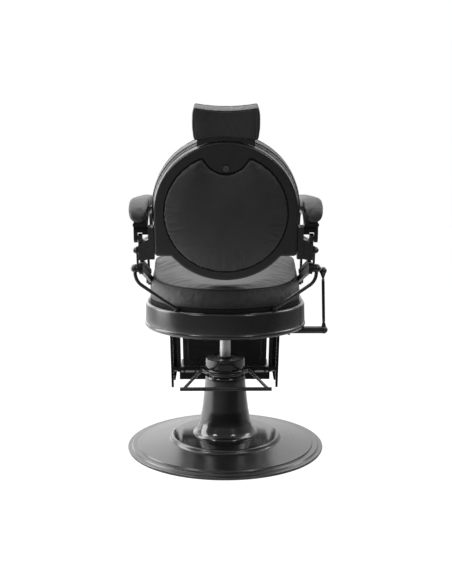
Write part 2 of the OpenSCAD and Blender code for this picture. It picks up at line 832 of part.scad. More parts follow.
module back_hub(s) {
    color("#161616") side(s) on_back() difference() {
        union() {
            slab_y(-hub_half, 2 * hub_half) polygon([
                [hub_x, plate_low], [hub_x + lug_t, hub_low], [hub_out, hub_low],
                [hub_out, hub_out_top], [hub_x, hub_in_top]]);
            slab_x(hub_out - lug_t, lug_t) {
                translate([0, arm_rise]) circle(r = lug_r);
                translate([-lug_r, hub_out_top - lug_r]) square([2 * lug_r, arm_rise - hub_out_top + lug_r]);
            }
        }
        translate([0, 0, arm_rise]) bar_x(hub_x, hub_out + over, arm_pin_r + gap);
        translate([0, 0, upper_pin_z]) bar_x(hub_x + lug_t, hub_out + over, upper_pin_r + gap);
    }
}

module cheek(s) {
    color("#121212") side(s) on_back() difference() {
        slab_x(cheek_x, cheek_t) {
            circle(r = cheek_end_r);
            translate([0, upper_pin_z]) circle(r = cheek_end_r);
            translate([-cheek_waist, 0]) square([2 * cheek_waist, upper_pin_z]);
        }
        bar_x(cheek_x - over, cheek_x + cheek_t + over, pivot_pin_r + fit);
        translate([0, 0, upper_pin_z]) bar_x(cheek_x - over, cheek_x + cheek_t + over, upper_pin_r + gap);
    }
}

module hub_pins() {
    color("#9a9aa0") for (s = [-1, 1]) side(s) on_back() {
        translate([0, 0, arm_rise]) bar_x(hub_out - lug_t, arm_x + arm_boss_t + side_gap, arm_pin_r);
        translate([0, 0, upper_pin_z]) {
            bar_x(hub_x + lug_t + side_gap, ball_x, upper_pin_r);
            bar_x(hub_out, cheek_x, upper_pin_r * 1.8);
            difference() {
                translate([ball_x, 0, 0]) sphere(r = upper_ball_r);
                translate([0, -ball_r, -ball_r]) cube([cheek_x + cheek_t, 2 * ball_r, 2 * ball_r]);
            }
        }
    }
}

module head_sleeve() {
    color("#2a2a2c") on_shell() difference() {
        translate([-stem_w / 2 - sleeve_wall, frame_wall, sleeve_low])
            cube([stem_w + 2 * sleeve_wall, back_t - frame_wall, sleeve_high - sleeve_low]);
        translate([-stem_w / 2 - fit, stem_in - fit, sleeve_low - over])
            cube([stem_w + 2 * fit, stem_t + 2 * fit, sleeve_high - sleeve_low + 2 * over]);
        translate([0, 0, lock_up]) rotate([-90, 0, 0]) cylinder(h = stem_in, r = lock_bore_r + fit);
    }
}

module head_lock() {
    color("#b8b8bc") on_shell() translate([0, 0, lock_up]) rotate([-90, 0, 0]) difference() {
        union() {
            translate([0, 0, -lock_h]) cylinder(h = lock_h - fit, r = lock_r);
            translate([0, 0, -lock_h]) cylinder(h = lock_h + stem_in - 2 * gap, r = lock_bore_r);
        }
        translate([0, 0, -lock_h - over]) cylinder(h = lock_h / 2 + over, r = lock_hex / 2, $fn = 6);
    }
}

module head_stem() {
    color("#1c1c1e") on_shell() slab_y(stem_in, stem_t) intersection() {
        circle(r = back_r + bracket_gap);
        translate([-stem_w / 2, stem_low]) square([stem_w, back_r + bracket_gap - stem_low]);
    }
}

module head_bracket() {
    color("#101010") on_shell() {
        slab_y(stem_in, stem_t) intersection() {
            difference() {
                translate([0, head_low - head_sag_r]) circle(r = head_sag_r - gap);
                circle(r = back_r + bracket_gap);
            }
            translate([-bracket_w / 2, back_r / 2]) square([bracket_w, back_r]);
        }
        slab_y(stem_in + stem_t, cradle_d) intersection() {
            difference() {
                translate([0, head_low - head_sag_r]) circle(r = head_sag_r - gap);
                translate([0, head_low - head_sag_r]) circle(r = head_sag_r - gap - cradle_t);
            }
            translate([-bracket_w / 2, back_r / 2]) square([bracket_w, back_r]);
        }
    }
}

// Outline of the head rest cushion: hollow top and bottom, full sides, drawn in by d
function head_ring(d) = let (w = head_w / 2 - d, b = w - head_bulge, n = 10,
    low = [for (i = [0:n]) let (x = -b + 2 * b * i / n)
        [x, head_low - head_sag_r + sqrt(head_sag_r * head_sag_r - x * x) + d]],
    end = head_low - head_sag_r + sqrt(head_sag_r * head_sag_r - b * b),
    top_end = end + head_pad_h,
    top = [for (i = [0:n]) let (x = b - 2 * b * i / n)
        [x, top_end - d - (sqrt(head_dip_r * head_dip_r - x * x) - sqrt(head_dip_r * head_dip_r - b * b))]],
    m = 6,
    right = [for (i = [1:m - 1]) let (t = i / m)
        [b + head_bulge * pow(sin(180 * t), 0.5), (low[n].y) + (top[0].y - low[n].y) * t]],
    left = [for (i = [1:m - 1]) let (t = i / m)
        [-b - head_bulge * pow(sin(180 * t), 0.5), (top[n].y) + (low[0].y - top[n].y) * t]])
    concat(low, right, top, left);

// How far the head rest cushion is drawn in, as a share of its seam, and how deep it is, as a share
head_shares = [[1.4, 0], [0.5, 0.015], [0.1, 0.08], [0, 0.3], [0.15, 0.6], [0.6, 0.82], [1.6, 0.93], [4, 0.985], [8, 1]];

module head_cushion() {
    color("#202020") on_shell() translate([0, 0, head_low]) rotate([head_tilt, 0, 0])
        translate([0, head_back, -head_low - head_drop])
            loft([for (s = head_shares) [for (p = head_ring(head_seam * s[0])) [p.x, head_pad_t * s[1], p.y]]], true);
}

// Outline of the arm pad seen from behind, as shares of its width and height; the beak is inboard
arm_pad_shares = [[-0.5, 0.86], [-0.42, 0.62], [-0.33, 0.36], [-0.3, 0.16], [-0.18, 0.03], [0.06, 0], [0.3, 0.08],
    [0.44, 0.26], [0.5, 0.5], [0.48, 0.76], [0.38, 0.94], [0.12, 1], [-0.24, 1], [-0.43, 0.97]];
// Along the arm: place as a share of its length, width, lowest and highest point as shares of the pad
arm_pad_path = [[0, 0.5, -0.3, 0.42], [0.006, 0.72, -0.5, 0.66], [0.025, 0.9, -0.68, 0.84], [0.06, 1, -0.72, 0.97],
    [0.1, 1, -0.62, 1], [0.15, 1, -0.3, 1.01], [0.2, 0.98, -0.02, 1.01], [0.3, 0.96, 0, 1], [0.55, 0.96, 0, 0.98],
    [0.8, 0.97, 0, 0.96], [0.9, 0.97, -0.03, 0.94], [0.96, 0.9, 0, 0.86], [0.99, 0.72, 0.06, 0.72], [1, 0.5, 0.18, 0.58]];

// Place on the pad's underside, given as the distance from the arm's rear pivot and the height
function arm_low(c) = [arm_len * c[0] - arm_back * 1.3, arm_top - arm_pad_h * (1 - c[2])];

module arm_pad(s) {
    color("#2a2a2a") side(s) on_arm() loft([for (c = arm_pad_path) [for (p = arm_pad_shares)
        [arm_mid + arm_w * c[1] * p[0], arm_low(c).x, arm_low(c).y + arm_pad_h * (c[3] - c[2]) * p[1]]]], true);
}

module arm_frame(s) {
    reach = front_y + pivot_back;
    drop = front_z - pivot_z;
    low = arm_top - arm_pad_h - arm_plate_t;
    under = [for (i = [2:len(arm_pad_path) - 3]) arm_low(arm_pad_path[i]) - [0, 2 * gap]];
    half = arm_boss_r;
    color("#141414") side(s) on_arm() difference() {
        union() {
            slab_x(arm_x, arm_boss_t) {
                circle(r = arm_boss_r);
                polygon(ribbon(curve([[0, 0], [-half / 2, half], [-half / 2, 2 * half],
                    [-half / 4, 3 * half]], 10), half * 0.93, half * 0.8));
            }
            slab_x(hub_x + side_gap, arm_plate_w) polygon(concat(under,
                [for (i = [len(under) - 1:-1:0]) under[i] - [0, arm_plate_t]]));
            slab_x(hub_x + side_gap, hub_out - lug_t - hub_x - 2 * side_gap) polygon([
                [-half, arm_neck_low], [half / 5, arm_neck_low], [half * 0.8, half * 1.6],
                [half * 0.8, half * 3.6], [-half, half * 2.7]]);
            slab_x(hub_x + 2 * side_gap, arm_x + arm_boss_t - hub_x - 2 * side_gap) polygon([
                [-half, half * 1.15], [half * 0.7, half * 1.15], [half * 0.8, half * 1.6],
                [half * 0.8, half * 3.6], [-half, half * 2.7]]);
            slab_x(rail_x, rail_t) {
                translate([reach, drop]) circle(r = post_boss_r);
                polygon(ribbon(curve([[reach - arm_back * 3, low], [reach + arm_back, low],
                    [reach + arm_back, drop * 0.2], [reach, drop]], 16), arm_plate_t * 0.8, half * 0.7));
            }
        }
        bar_x(hub_x, arm_x + arm_boss_t + over, arm_pin_r + fit);
        translate([0, reach, drop]) bar_x(rail_x - over, rail_out + over, post_pin_r + gap);
    }
}

// Pins that join the arms' front ends to the posts; the posts turn on them with a loose fit
module front_pin(s) {
    color("#9a9aa0") side(s) on_arm() translate([0, front_y + pivot_back, front_z - pivot_z]) {
        bar_x(rail_x, post_x + post_t + side_gap, post_pin_r);
        bar_x(post_x + post_t + side_gap, post_x + post_t + side_gap + post_pin_r, post_pin_r * 2);
    }
}

module front_post(s) {
    color("#141414") side(s) on_post() difference() {
        slab_x(post_x, post_t) {
            circle(r = post_boss_r);
            translate([0, arm_rise]) circle(r = post_boss_r);
            translate([-post_half, 0]) square([2 * post_half, arm_rise]);
        }
        bar_x(post_x - over, post_x + post_t + over, post_pin_r + fit);
        translate([0, 0, arm_rise]) bar_x(post_x - over, post_x + post_t + over, post_pin_r + gap);
    }
}

module leg_plate(s) {
    color("#121212") side(s) on_leg() difference() {
        slab_x(leg_plate_x, leg_plate_t) {
            circle(r = leg_plate_half);
            translate([-leg_plate_half, -leg_len]) square([2 * leg_plate_half, leg_len]);
        }
        bar_x(leg_plate_x - over, leg_plate_x + leg_plate_t + over, leg_pin_r + fit);
    }
}

module leg_frame() {
    bar = leg_plate_half;
    color("#121212") on_leg() difference() {
        union() {
            for (s = [-1, 1]) side(s) {
                translate([inner_bar_x, -bar / 2, -axle_low]) cube([inner_bar_w, bar, axle_low - ear_r * 3]);
                translate([0, 0, -axle_low]) bar_x(inner_bar_x, inner_bar_x + inner_bar_w, axle_collar_r);
            }
            for (z = [ear_r * 4, cross_low]) translate([-leg_plate_x, -bar, -z]) cube([2 * leg_plate_x, bar / 2, bar]);
        }
        translate([0, 0, -axle_low]) bar_x(-leg_plate_x, leg_plate_x, axle_r + gap);
    }
}

module leg_board() {
    color("#1c1c1c") on_leg() translate([-board_half, -leg_plate_half / 2, -board_low])
        cube([2 * board_half, leg_board_t, board_low - board_high]);
}

// How far the leg cushion is drawn in, and how far forward it stands, as shares
leg_shares = [[0.05, 0], [0, 0.1], [0, 0.45], [0.04, 0.72], [0.14, 0.9], [0.4, 1]];

module leg_cushion() {
    w = board_half;
    h = board_low - board_high;
    c = leg_pad_t / 2;
    rear = leg_board_t - leg_plate_half / 2 + gap;
    outline = concat(
        arc([w - c, h / 2 - c], c, 0, 90, 4),
        arc([c - w, h / 2 - c], c, 90, 180, 4),
        arc([c - w, c - h / 2], c, 180, 270, 4),
        arc([w - c, c - h / 2], c, 270, 360, 4));
    color("#202020") on_leg() translate([0, 0, -(board_low + board_high) / 2]) loft([for (s = leg_shares)
        [for (p = outline) [p.x * (1 - s[0] * h / w), rear + leg_pad_t * s[1], p.y * (1 - s[0] * 1.6)]]], true);
}

module leg_axle() {
    color("#c8c8cc") on_leg() translate([0, 0, -axle_low]) {
        bar_x(-leg_plate_x, leg_plate_x, axle_r);
        for (s = [-1, 1]) side(s) bar_x(collar_x, collar_x + axle_collar_t, axle_collar_r);
    }
}

module foot_plate() {
    color("#161616") on_foot() difference() {
        union() {
            translate([-foot_half, -foot_wall / 2, -foot_drop]) cube([2 * foot_half, foot_wall, foot_drop - axle_collar_r - gap]);
            translate([-foot_half, -foot_wall / 2, -foot_drop]) cube([2 * foot_half, foot_depth, foot_wall]);
            for (s = [-1, 1]) side(s) for (x = [collar_x + axle_collar_t * 2, board_half - foot_wall])
                slab_x(x, foot_wall) {
                    circle(r = axle_collar_r);
                    translate([-foot_wall / 2, -foot_drop / 2]) square([foot_wall, foot_drop / 2]);
                }
        }
        bar_x(-foot_half, foot_half, axle_r + fit);
    }
}

module foot_tread() {
    step = (foot_depth - foot_wall * 2) / tread_n;
    color("#0c0c0c") on_foot() for (i = [0:tread_n - 1])
        translate([-foot_half + tread_w, foot_wall + i * step + (step - tread_w) / 2, foot_wall - foot_drop])
            cube([2 * (foot_half - tread_w), tread_w, tread_h]);
}

base_plate();
base_mat();
column_cover();
column_tube();
column_bolts();
pump_cylinder();
pump_head();
rod_wiper();
pedal();
piston_rod();
seat_hub();
hub_bolts();
seat_frame();
apron();
seat_board();
seat_cushion();
side_rail(-1);  // side_rail_left
side_rail(1);  // side_rail_right
upper_bar(-1);  // upper_bar_left
upper_bar(1);  // upper_bar_right
rear_brace(-1);  // rear_brace_left
rear_brace(1);  // rear_brace_right
rail_pins();
leg_hinge();
lever_bracket();
lock_unit();
recline_lever();
lever_ball();
back_frame();
back_disc();
back_cushion();
side_plate(-1);  // side_plate_left
side_plate(1);  // side_plate_right
back_hub(-1);  // back_hub_left
back_hub(1);  // back_hub_right
cheek(-1);  // cheek_left
cheek(1);  // cheek_right
hub_pins();
head_sleeve();
head_lock();
head_stem();
head_bracket();
head_cushion();
arm_frame(-1);  // arm_frame_left
arm_frame(1);  // arm_frame_right
arm_pad(-1);  // arm_pad_left
arm_pad(1);  // arm_pad_right
front_pin(-1);  // front_pin_left
front_pin(1);  // front_pin_right
front_post(-1);  // front_post_left
front_post(1);  // front_post_right
leg_frame();
leg_plate(-1);  // leg_plate_left
leg_plate(1);  // leg_plate_right
leg_board();
leg_cushion();
leg_axle();
foot_plate();
foot_tread();
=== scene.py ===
"""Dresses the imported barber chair: upholstery with its seams, enamel, coats, steel, rubber and the studio."""
import math

import bpy
from mathutils import Matrix, Vector, bvhtree, kdtree


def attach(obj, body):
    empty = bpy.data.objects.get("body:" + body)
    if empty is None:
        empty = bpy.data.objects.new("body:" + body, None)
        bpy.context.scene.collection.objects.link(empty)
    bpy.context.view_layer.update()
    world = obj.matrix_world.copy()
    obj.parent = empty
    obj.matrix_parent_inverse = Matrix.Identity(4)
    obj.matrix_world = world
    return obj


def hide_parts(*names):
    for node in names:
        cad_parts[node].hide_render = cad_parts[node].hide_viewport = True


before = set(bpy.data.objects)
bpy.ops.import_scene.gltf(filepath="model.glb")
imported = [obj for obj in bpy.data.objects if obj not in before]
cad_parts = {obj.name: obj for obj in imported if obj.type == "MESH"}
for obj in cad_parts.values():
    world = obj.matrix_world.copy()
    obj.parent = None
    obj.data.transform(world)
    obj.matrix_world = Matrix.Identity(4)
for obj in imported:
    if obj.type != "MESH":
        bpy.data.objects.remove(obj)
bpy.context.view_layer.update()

bl_info = {
    "name": "Barber chair upholstery and finish",
    "version": (1, 0, 0),
    "blender": (4, 5, 0),
    "location": "View3D > Sidebar > Barber chair",
    "description": "Builds the cushions, seams and finishes of a barber chair on its metal frame",
    "category": "Object",
}

# Frames of the moving groups at rest, in metres and degrees, as the metal frame has them
LEAN = math.radians(15)
PIVOT = Vector((0, -0.265, 0.680))
SHELL_UP = 0.192
SHELL_IN = 0.028
ARM_RISE = 0.104
LEG_HINGE = Vector((0, 0.222, 0.425))
LEG_SLOPE = math.radians(20)
BACK = Matrix.Translation(PIVOT) @ Matrix.Rotation(LEAN, 4, "X")
SHELL = BACK @ Matrix.Translation((0, -SHELL_IN, SHELL_UP))
ARM = Matrix.Translation(PIVOT + Vector((0, -ARM_RISE * math.sin(LEAN), ARM_RISE * math.cos(LEAN))))
LEG = Matrix.Translation(LEG_HINGE) @ Matrix.Rotation(LEG_SLOPE, 4, "X")


# A stitch: half its length in steps of the seam, its height in widths, and how far it stands off the leather
STITCH_SHARE = 0.36
STITCH_HIGH = 0.6
STITCH_LIFT = 0.0002

# Steps between the points of a seam, and of a finer one
SEAM_STEP = 0.004
FINE_STEP = 0.003


# Sizes and colours that a user would change

def metres(name, text, value):
    return bpy.props.FloatProperty(name=name, description=text, default=value, min=0, unit="LENGTH",
                                   precision=4)


def share(name, text, value):
    return bpy.props.FloatProperty(name=name, description=text, default=value, min=0, max=1, subtype="FACTOR")


def tint(name, text, value):
    return bpy.props.FloatVectorProperty(name=name, description=text, default=value, size=3, min=0, max=1,
                                         subtype="COLOR")


class ChairUpholstery(bpy.types.PropertyGroup):
    leather: tint("Leather", "Colour of the leather", (0.014, 0.014, 0.015))
    thread: tint("Thread", "Colour of the stitching", (0.055, 0.055, 0.057))
    welt: metres("Welt", "Radius of the welt along the cushions' seams", 0.0022)
    stitch: metres("Stitch", "Length of one stitch", 0.0042)
    swell: metres("Swell", "Most that a cushion's skin may move as it fills", 0.010)
    grain: share("Grain", "Depth of the leather's grain", 0.35)


class ChairFinish(bpy.types.PropertyGroup):
    enamel: tint("Enamel", "Colour of the gloss enamel on base and column", (0.007, 0.007, 0.008))
    coat: tint("Powder coat", "Colour of the satin coat on frame and apron", (0.008, 0.0072, 0.0073))
    chrome: tint("Chrome", "Colour of the bare steel", (0.75, 0.75, 0.77))
    rubber: tint("Rubber", "Colour of mat, treads and seals", (0.014, 0.014, 0.014))


class ChairStudio(bpy.types.PropertyGroup):
    backdrop: tint("Backdrop", "Colour of floor and backdrop", (1.0, 1.0, 1.0))
    lens: bpy.props.FloatProperty(name="Lens", description="Focal length on a 36 mm sensor", default=53.17,
                                  min=20, unit="CAMERA")
    away: metres("Distance", "Distance of the camera from the column's axis", 3.0)
    high: metres("Height", "Height of the camera above the floor", 1.046)
    tip: bpy.props.FloatProperty(name="Tip", description="How far the camera looks down",
                                 default=math.radians(9.2), subtype="ANGLE")
    turn: bpy.props.FloatProperty(name="Turn", description="How far the camera stands to the left",
                                  default=math.radians(0.4), subtype="ANGLE")


# Mesh helpers

def ring_mesh(name, rings, at=Matrix.Identity(4), flip=False):
    """Skin over rings of points, each ring closed, with a fan over the first and the last."""
    mesh = bpy.data.meshes.new(name)
    n = len(rings[0])
    points = [at @ Vector(p) for r in rings for p in r]
    faces = []
    for j in range(len(rings) - 1):
        for i in range(n):
            a, b = j * n + i, j * n + (i + 1) % n
            faces.append((a, b, b + n, a + n))
    for end in (0, len(rings) - 1):
        middle = sum((at @ Vector(p) for p in rings[end]), Vector()) / n
        points.append(middle)
        m = len(points) - 1
        for i in range(n):
            a, b = end * n + i, end * n + (i + 1) % n
            faces.append((b, a, m) if end == 0 else (a, b, m))
    if flip:
        faces = [tuple(reversed(f)) for f in faces]
    mesh.from_pydata(points, [], faces)
    mesh.update()
    return mesh


def new_object(name, mesh, material=None, smooth=True):
    o = bpy.data.objects.new(name, mesh)
    bpy.context.scene.collection.objects.link(o)
    if material:
        mesh.materials.append(material)
    if smooth:
        for p in mesh.polygons:
            p.use_smooth = True
    return o


def add_modifier(o, kind, name, **values):
    m = o.modifiers.new(name, kind)
    for k, v in values.items():
        setattr(m, k, v)
    return m


def apply_modifiers(o):
    dg = bpy.context.evaluated_depsgraph_get()
    mesh = bpy.data.meshes.new_from_object(o.evaluated_get(dg))
    old = o.data
    o.modifiers.clear()
    o.data = mesh
    bpy.data.meshes.remove(old)


def resample(points, closed, step):
    """Points at an even distance along a line."""
    line = [Vector(p) for p in points]
    if closed:
        line.append(line[0])
    lengths = [(b - a).length for a, b in zip(line, line[1:])]
    total = sum(lengths)
    count = max(3, round(total / step))
    out, i, gone = [], 0, 0.0
    for k in range(count if closed else count + 1):
        want = total * k / count
        while i < len(lengths) - 1 and gone + lengths[i] < want:
            gone += lengths[i]
            i += 1
        t = 0 if lengths[i] == 0 else (want - gone) / lengths[i]
        out.append(line[i].lerp(line[i + 1], min(1, t)))
    return out


def tube(name, line, radius, material, closed=True, sides=8):
    """Round cord along a line of points, as a mesh."""
    count = len(line)
    verts, faces = [], []
    side = None
    for i, p in enumerate(line):
        a = line[(i - 1) % count] if closed or i else line[0]
        b = line[(i + 1) % count] if closed or i < count - 1 else line[-1]
        along = (b - a).normalized()
        if side is None:
            side = along.orthogonal().normalized()
        side = (side - along * side.dot(along)).normalized()
        up = along.cross(side)
        for k in range(sides):
            t = 2 * math.pi * k / sides
            verts.append(p + radius * (math.cos(t) * side + math.sin(t) * up))
    rows = count if closed else count - 1
    for i in range(rows):
        for k in range(sides):
            a, b = i * sides + k, i * sides + (k + 1) % sides
            c, d = ((i + 1) % count) * sides + k, ((i + 1) % count) * sides + (k + 1) % sides
            faces.append((a, b, d, c))
    if not closed:
        faces.append(tuple(reversed(range(sides))))
        faces.append(tuple(range((count - 1) * sides, count * sides)))
    mesh = bpy.data.meshes.new(name)
    mesh.from_pydata(verts, [], faces)
    mesh.update()
    return new_object(name, mesh, material)


def stitches(name, points, normals, width, material, closed=True):
    """Row of single raised stitches lying on a surface, one between each two points."""
    verts, faces = [], []
    count = len(points)
    for i in range(count if closed else count - 1):
        a, b = points[i], points[(i + 1) % count]
        along = b - a
        if along.length < 1e-6:
            continue
        half = along.length * STITCH_SHARE
        along.normalize()
        up = normals[i].normalized()
        across = along.cross(up).normalized()
        middle = (a + b) / 2 + up * STITCH_LIFT
        base = len(verts)
        for s, h in ((-1, 0), (-0.6, 1), (0.6, 1), (1, 0)):
            for w in (-1, 1):
                verts.append(middle + along * half * s + across * width * w / 2
                             + up * width * STITCH_HIGH * h)
        for j in range(3):
            k = base + 2 * j
            faces.append((k, k + 1, k + 3, k + 2))
        faces.append((base + 1, base, base + 6, base + 7))
    mesh = bpy.data.meshes.new(name)
    mesh.from_pydata(verts, [], faces)
    mesh.update()
    return new_object(name, mesh, material, smooth=False)


# Shader node groups that several finishes use

def group_sockets(name, inputs, outputs):
    g = bpy.data.node_groups.new(name, "ShaderNodeTree")
    for label, kind, value in inputs:
        s = g.interface.new_socket(label, in_out="INPUT", socket_type=kind)
        if value is not None:
            s.default_value = value
    for label, kind in outputs:
        g.interface.new_socket(label, in_out="OUTPUT", socket_type=kind)
    return g, g.nodes.new("NodeGroupInput"), g.nodes.new("NodeGroupOutput")


def node(tree, kind, inputs=None, **values):
    n = tree.nodes.new(kind)
    for k, v in values.items():
        setattr(n, k, v)
    for k, v in (inputs or {}).items():
        if hasattr(v, "is_linked"):
            tree.links.new(v, n.inputs[k])
        else:
            n.inputs[k].default_value = v
    return n


def spread(tree, value, low, high, to_low, to_high):
    return node(tree, "ShaderNodeMapRange", {0: value, 1: low, 2: high, 3: to_low, 4: to_high}).outputs[0]


def calc(tree, operation, *inputs):
    return node(tree, "ShaderNodeMath", dict(enumerate(inputs)), operation=operation).outputs[0]


def put_out(tree, out, colour, roughness, height):
    for label, socket in (("Colour", colour), ("Roughness", roughness), ("Height", height)):
        tree.links.new(socket, out.inputs[label])
    return tree


def leather_grain_group():
    """Pebbled hide: cells with creases painted darker as shade, over a slow change of colour and sheen."""
    g, i, o = group_sockets("leather_grain", [
        ("Colour", "NodeSocketColor", (0.02, 0.02, 0.02, 1)), ("Scale", "NodeSocketFloat", 700.0),
        ("Sheen low", "NodeSocketFloat", 0.34), ("Sheen high", "NodeSocketFloat", 0.46)],
        [("Colour", "NodeSocketColor"), ("Roughness", "NodeSocketFloat"), ("Height", "NodeSocketFloat")])
    at = node(g, "ShaderNodeTexCoord").outputs["Object"]
    bend = node(g, "ShaderNodeTexNoise", {"Vector": at, "Scale": 160.0, "Detail": 2.0})
    moved = node(g, "ShaderNodeVectorMath", {0: bend.outputs["Color"], 1: (0.004, 0.004, 0.004)},
                 operation="MULTIPLY")
    place = node(g, "ShaderNodeVectorMath", {0: at, 1: moved.outputs[0]}, operation="ADD")
    cells = node(g, "ShaderNodeTexVoronoi", {"Vector": place.outputs[0], "Scale": i.outputs["Scale"]},
                 feature="DISTANCE_TO_EDGE")
    crease = spread(g, cells.outputs["Distance"], 0.0, 0.22, 0.0, 1.0)
    pores = node(g, "ShaderNodeTexNoise", {"Vector": at, "Scale": 1900.0, "Detail": 3.0})
    slow = node(g, "ShaderNodeTexNoise", {"Vector": at, "Scale": 9.0, "Detail": 4.0, "Roughness": 0.6})
    tone = spread(g, slow.outputs["Fac"], 0.3, 0.7, 0.82, 1.2)
    # Painted shade: the colour darkens by up to a fifth in the creases between the cells
    lift = calc(g, "ADD", calc(g, "MULTIPLY", crease, 0.18), 0.82)
    both = calc(g, "MULTIPLY", tone, lift)
    colour = node(g, "ShaderNodeVectorMath", {0: i.outputs["Colour"], "Scale": both}, operation="SCALE")
    height = calc(g, "ADD", crease, calc(g, "MULTIPLY", pores.outputs["Fac"], 0.25))
    rough = spread(g, slow.outputs["Fac"], 0.3, 0.7, i.outputs["Sheen low"], i.outputs["Sheen high"])
    return put_out(g, o, colour.outputs[0], rough, height)


def sprayed_coat_group():
    """Sprayed finish: orange peel, slow change of gloss and a thin veil of dust; duller past a radius."""
    g, i, o = group_sockets("sprayed_coat", [
        ("Colour", "NodeSocketColor", (0.02, 0.02, 0.02, 1)), ("Peel scale", "NodeSocketFloat", 260.0),
        ("Gloss low", "NodeSocketFloat", 0.12), ("Gloss high", "NodeSocketFloat", 0.2),
        ("Dust", "NodeSocketFloat", 0.1), ("Satin from", "NodeSocketFloat", 9.0),
        ("Satin", "NodeSocketFloat", 0.0)],
        [("Colour", "NodeSocketColor"), ("Roughness", "NodeSocketFloat"), ("Height", "NodeSocketFloat")])
    at = node(g, "ShaderNodeTexCoord").outputs["Object"]
    peel = node(g, "ShaderNodeTexNoise", {"Vector": at, "Scale": i.outputs["Peel scale"], "Detail": 2.0})
    slow = node(g, "ShaderNodeTexNoise", {"Vector": at, "Scale": 7.0, "Detail": 5.0, "Roughness": 0.65})
    specks = node(g, "ShaderNodeTexNoise", {"Vector": at, "Scale": 900.0, "Detail": 1.0})
    veil = spread(g, slow.outputs["Fac"], 0.45, 0.75, 0.0, i.outputs["Dust"])
    speck = spread(g, specks.outputs["Fac"], 0.62, 0.72, 0.4, 1.0)
    dusty = calc(g, "MULTIPLY", veil, speck)
    colour = node(g, "ShaderNodeMix", {0: dusty, 6: i.outputs["Colour"], 7: (0.11, 0.105, 0.1, 1)},
                  data_type="RGBA")
    rough = spread(g, slow.outputs["Fac"], 0.3, 0.7, i.outputs["Gloss low"], i.outputs["Gloss high"])
    flat = node(g, "ShaderNodeVectorMath", {0: at, 1: (1, 1, 0)}, operation="MULTIPLY")
    out = node(g, "ShaderNodeVectorMath", {0: flat.outputs[0]}, operation="LENGTH")
    past = calc(g, "GREATER_THAN", out.outputs["Value"], i.outputs["Satin from"])
    duller = calc(g, "MULTIPLY_ADD", past, i.outputs["Satin"], rough)
    return put_out(g, o, colour.outputs[2], duller, peel.outputs["Fac"])


def brushed_metal_group():
    """Plated or turned metal: fine lines round the axis and faint stains."""
    g, i, o = group_sockets("brushed_metal", [
        ("Colour", "NodeSocketColor", (0.7, 0.7, 0.7, 1)), ("Line scale", "NodeSocketFloat", 900.0),
        ("Gloss low", "NodeSocketFloat", 0.08), ("Gloss high", "NodeSocketFloat", 0.2)],
        [("Colour", "NodeSocketColor"), ("Roughness", "NodeSocketFloat"), ("Height", "NodeSocketFloat")])
    at = node(g, "ShaderNodeTexCoord").outputs["Object"]
    drawn = node(g, "ShaderNodeMapping", {"Vector": at, "Scale": (1.0, 1.0, 0.04)})
    lines = node(g, "ShaderNodeTexNoise", {"Vector": drawn.outputs[0], "Scale": i.outputs["Line scale"],
                                           "Detail": 2.0})
    slow = node(g, "ShaderNodeTexNoise", {"Vector": at, "Scale": 18.0, "Detail": 4.0})
    tone = spread(g, slow.outputs["Fac"], 0.35, 0.7, 1.0, 0.8)
    colour = node(g, "ShaderNodeVectorMath", {0: i.outputs["Colour"], "Scale": tone}, operation="SCALE")
    rough = spread(g, lines.outputs["Fac"], 0.3, 0.7, i.outputs["Gloss low"], i.outputs["Gloss high"])
    return put_out(g, o, colour.outputs[0], rough, lines.outputs["Fac"])


def coloured(c, k=1.0):
    return (c[0] * k, c[1] * k, c[2] * k, 1)


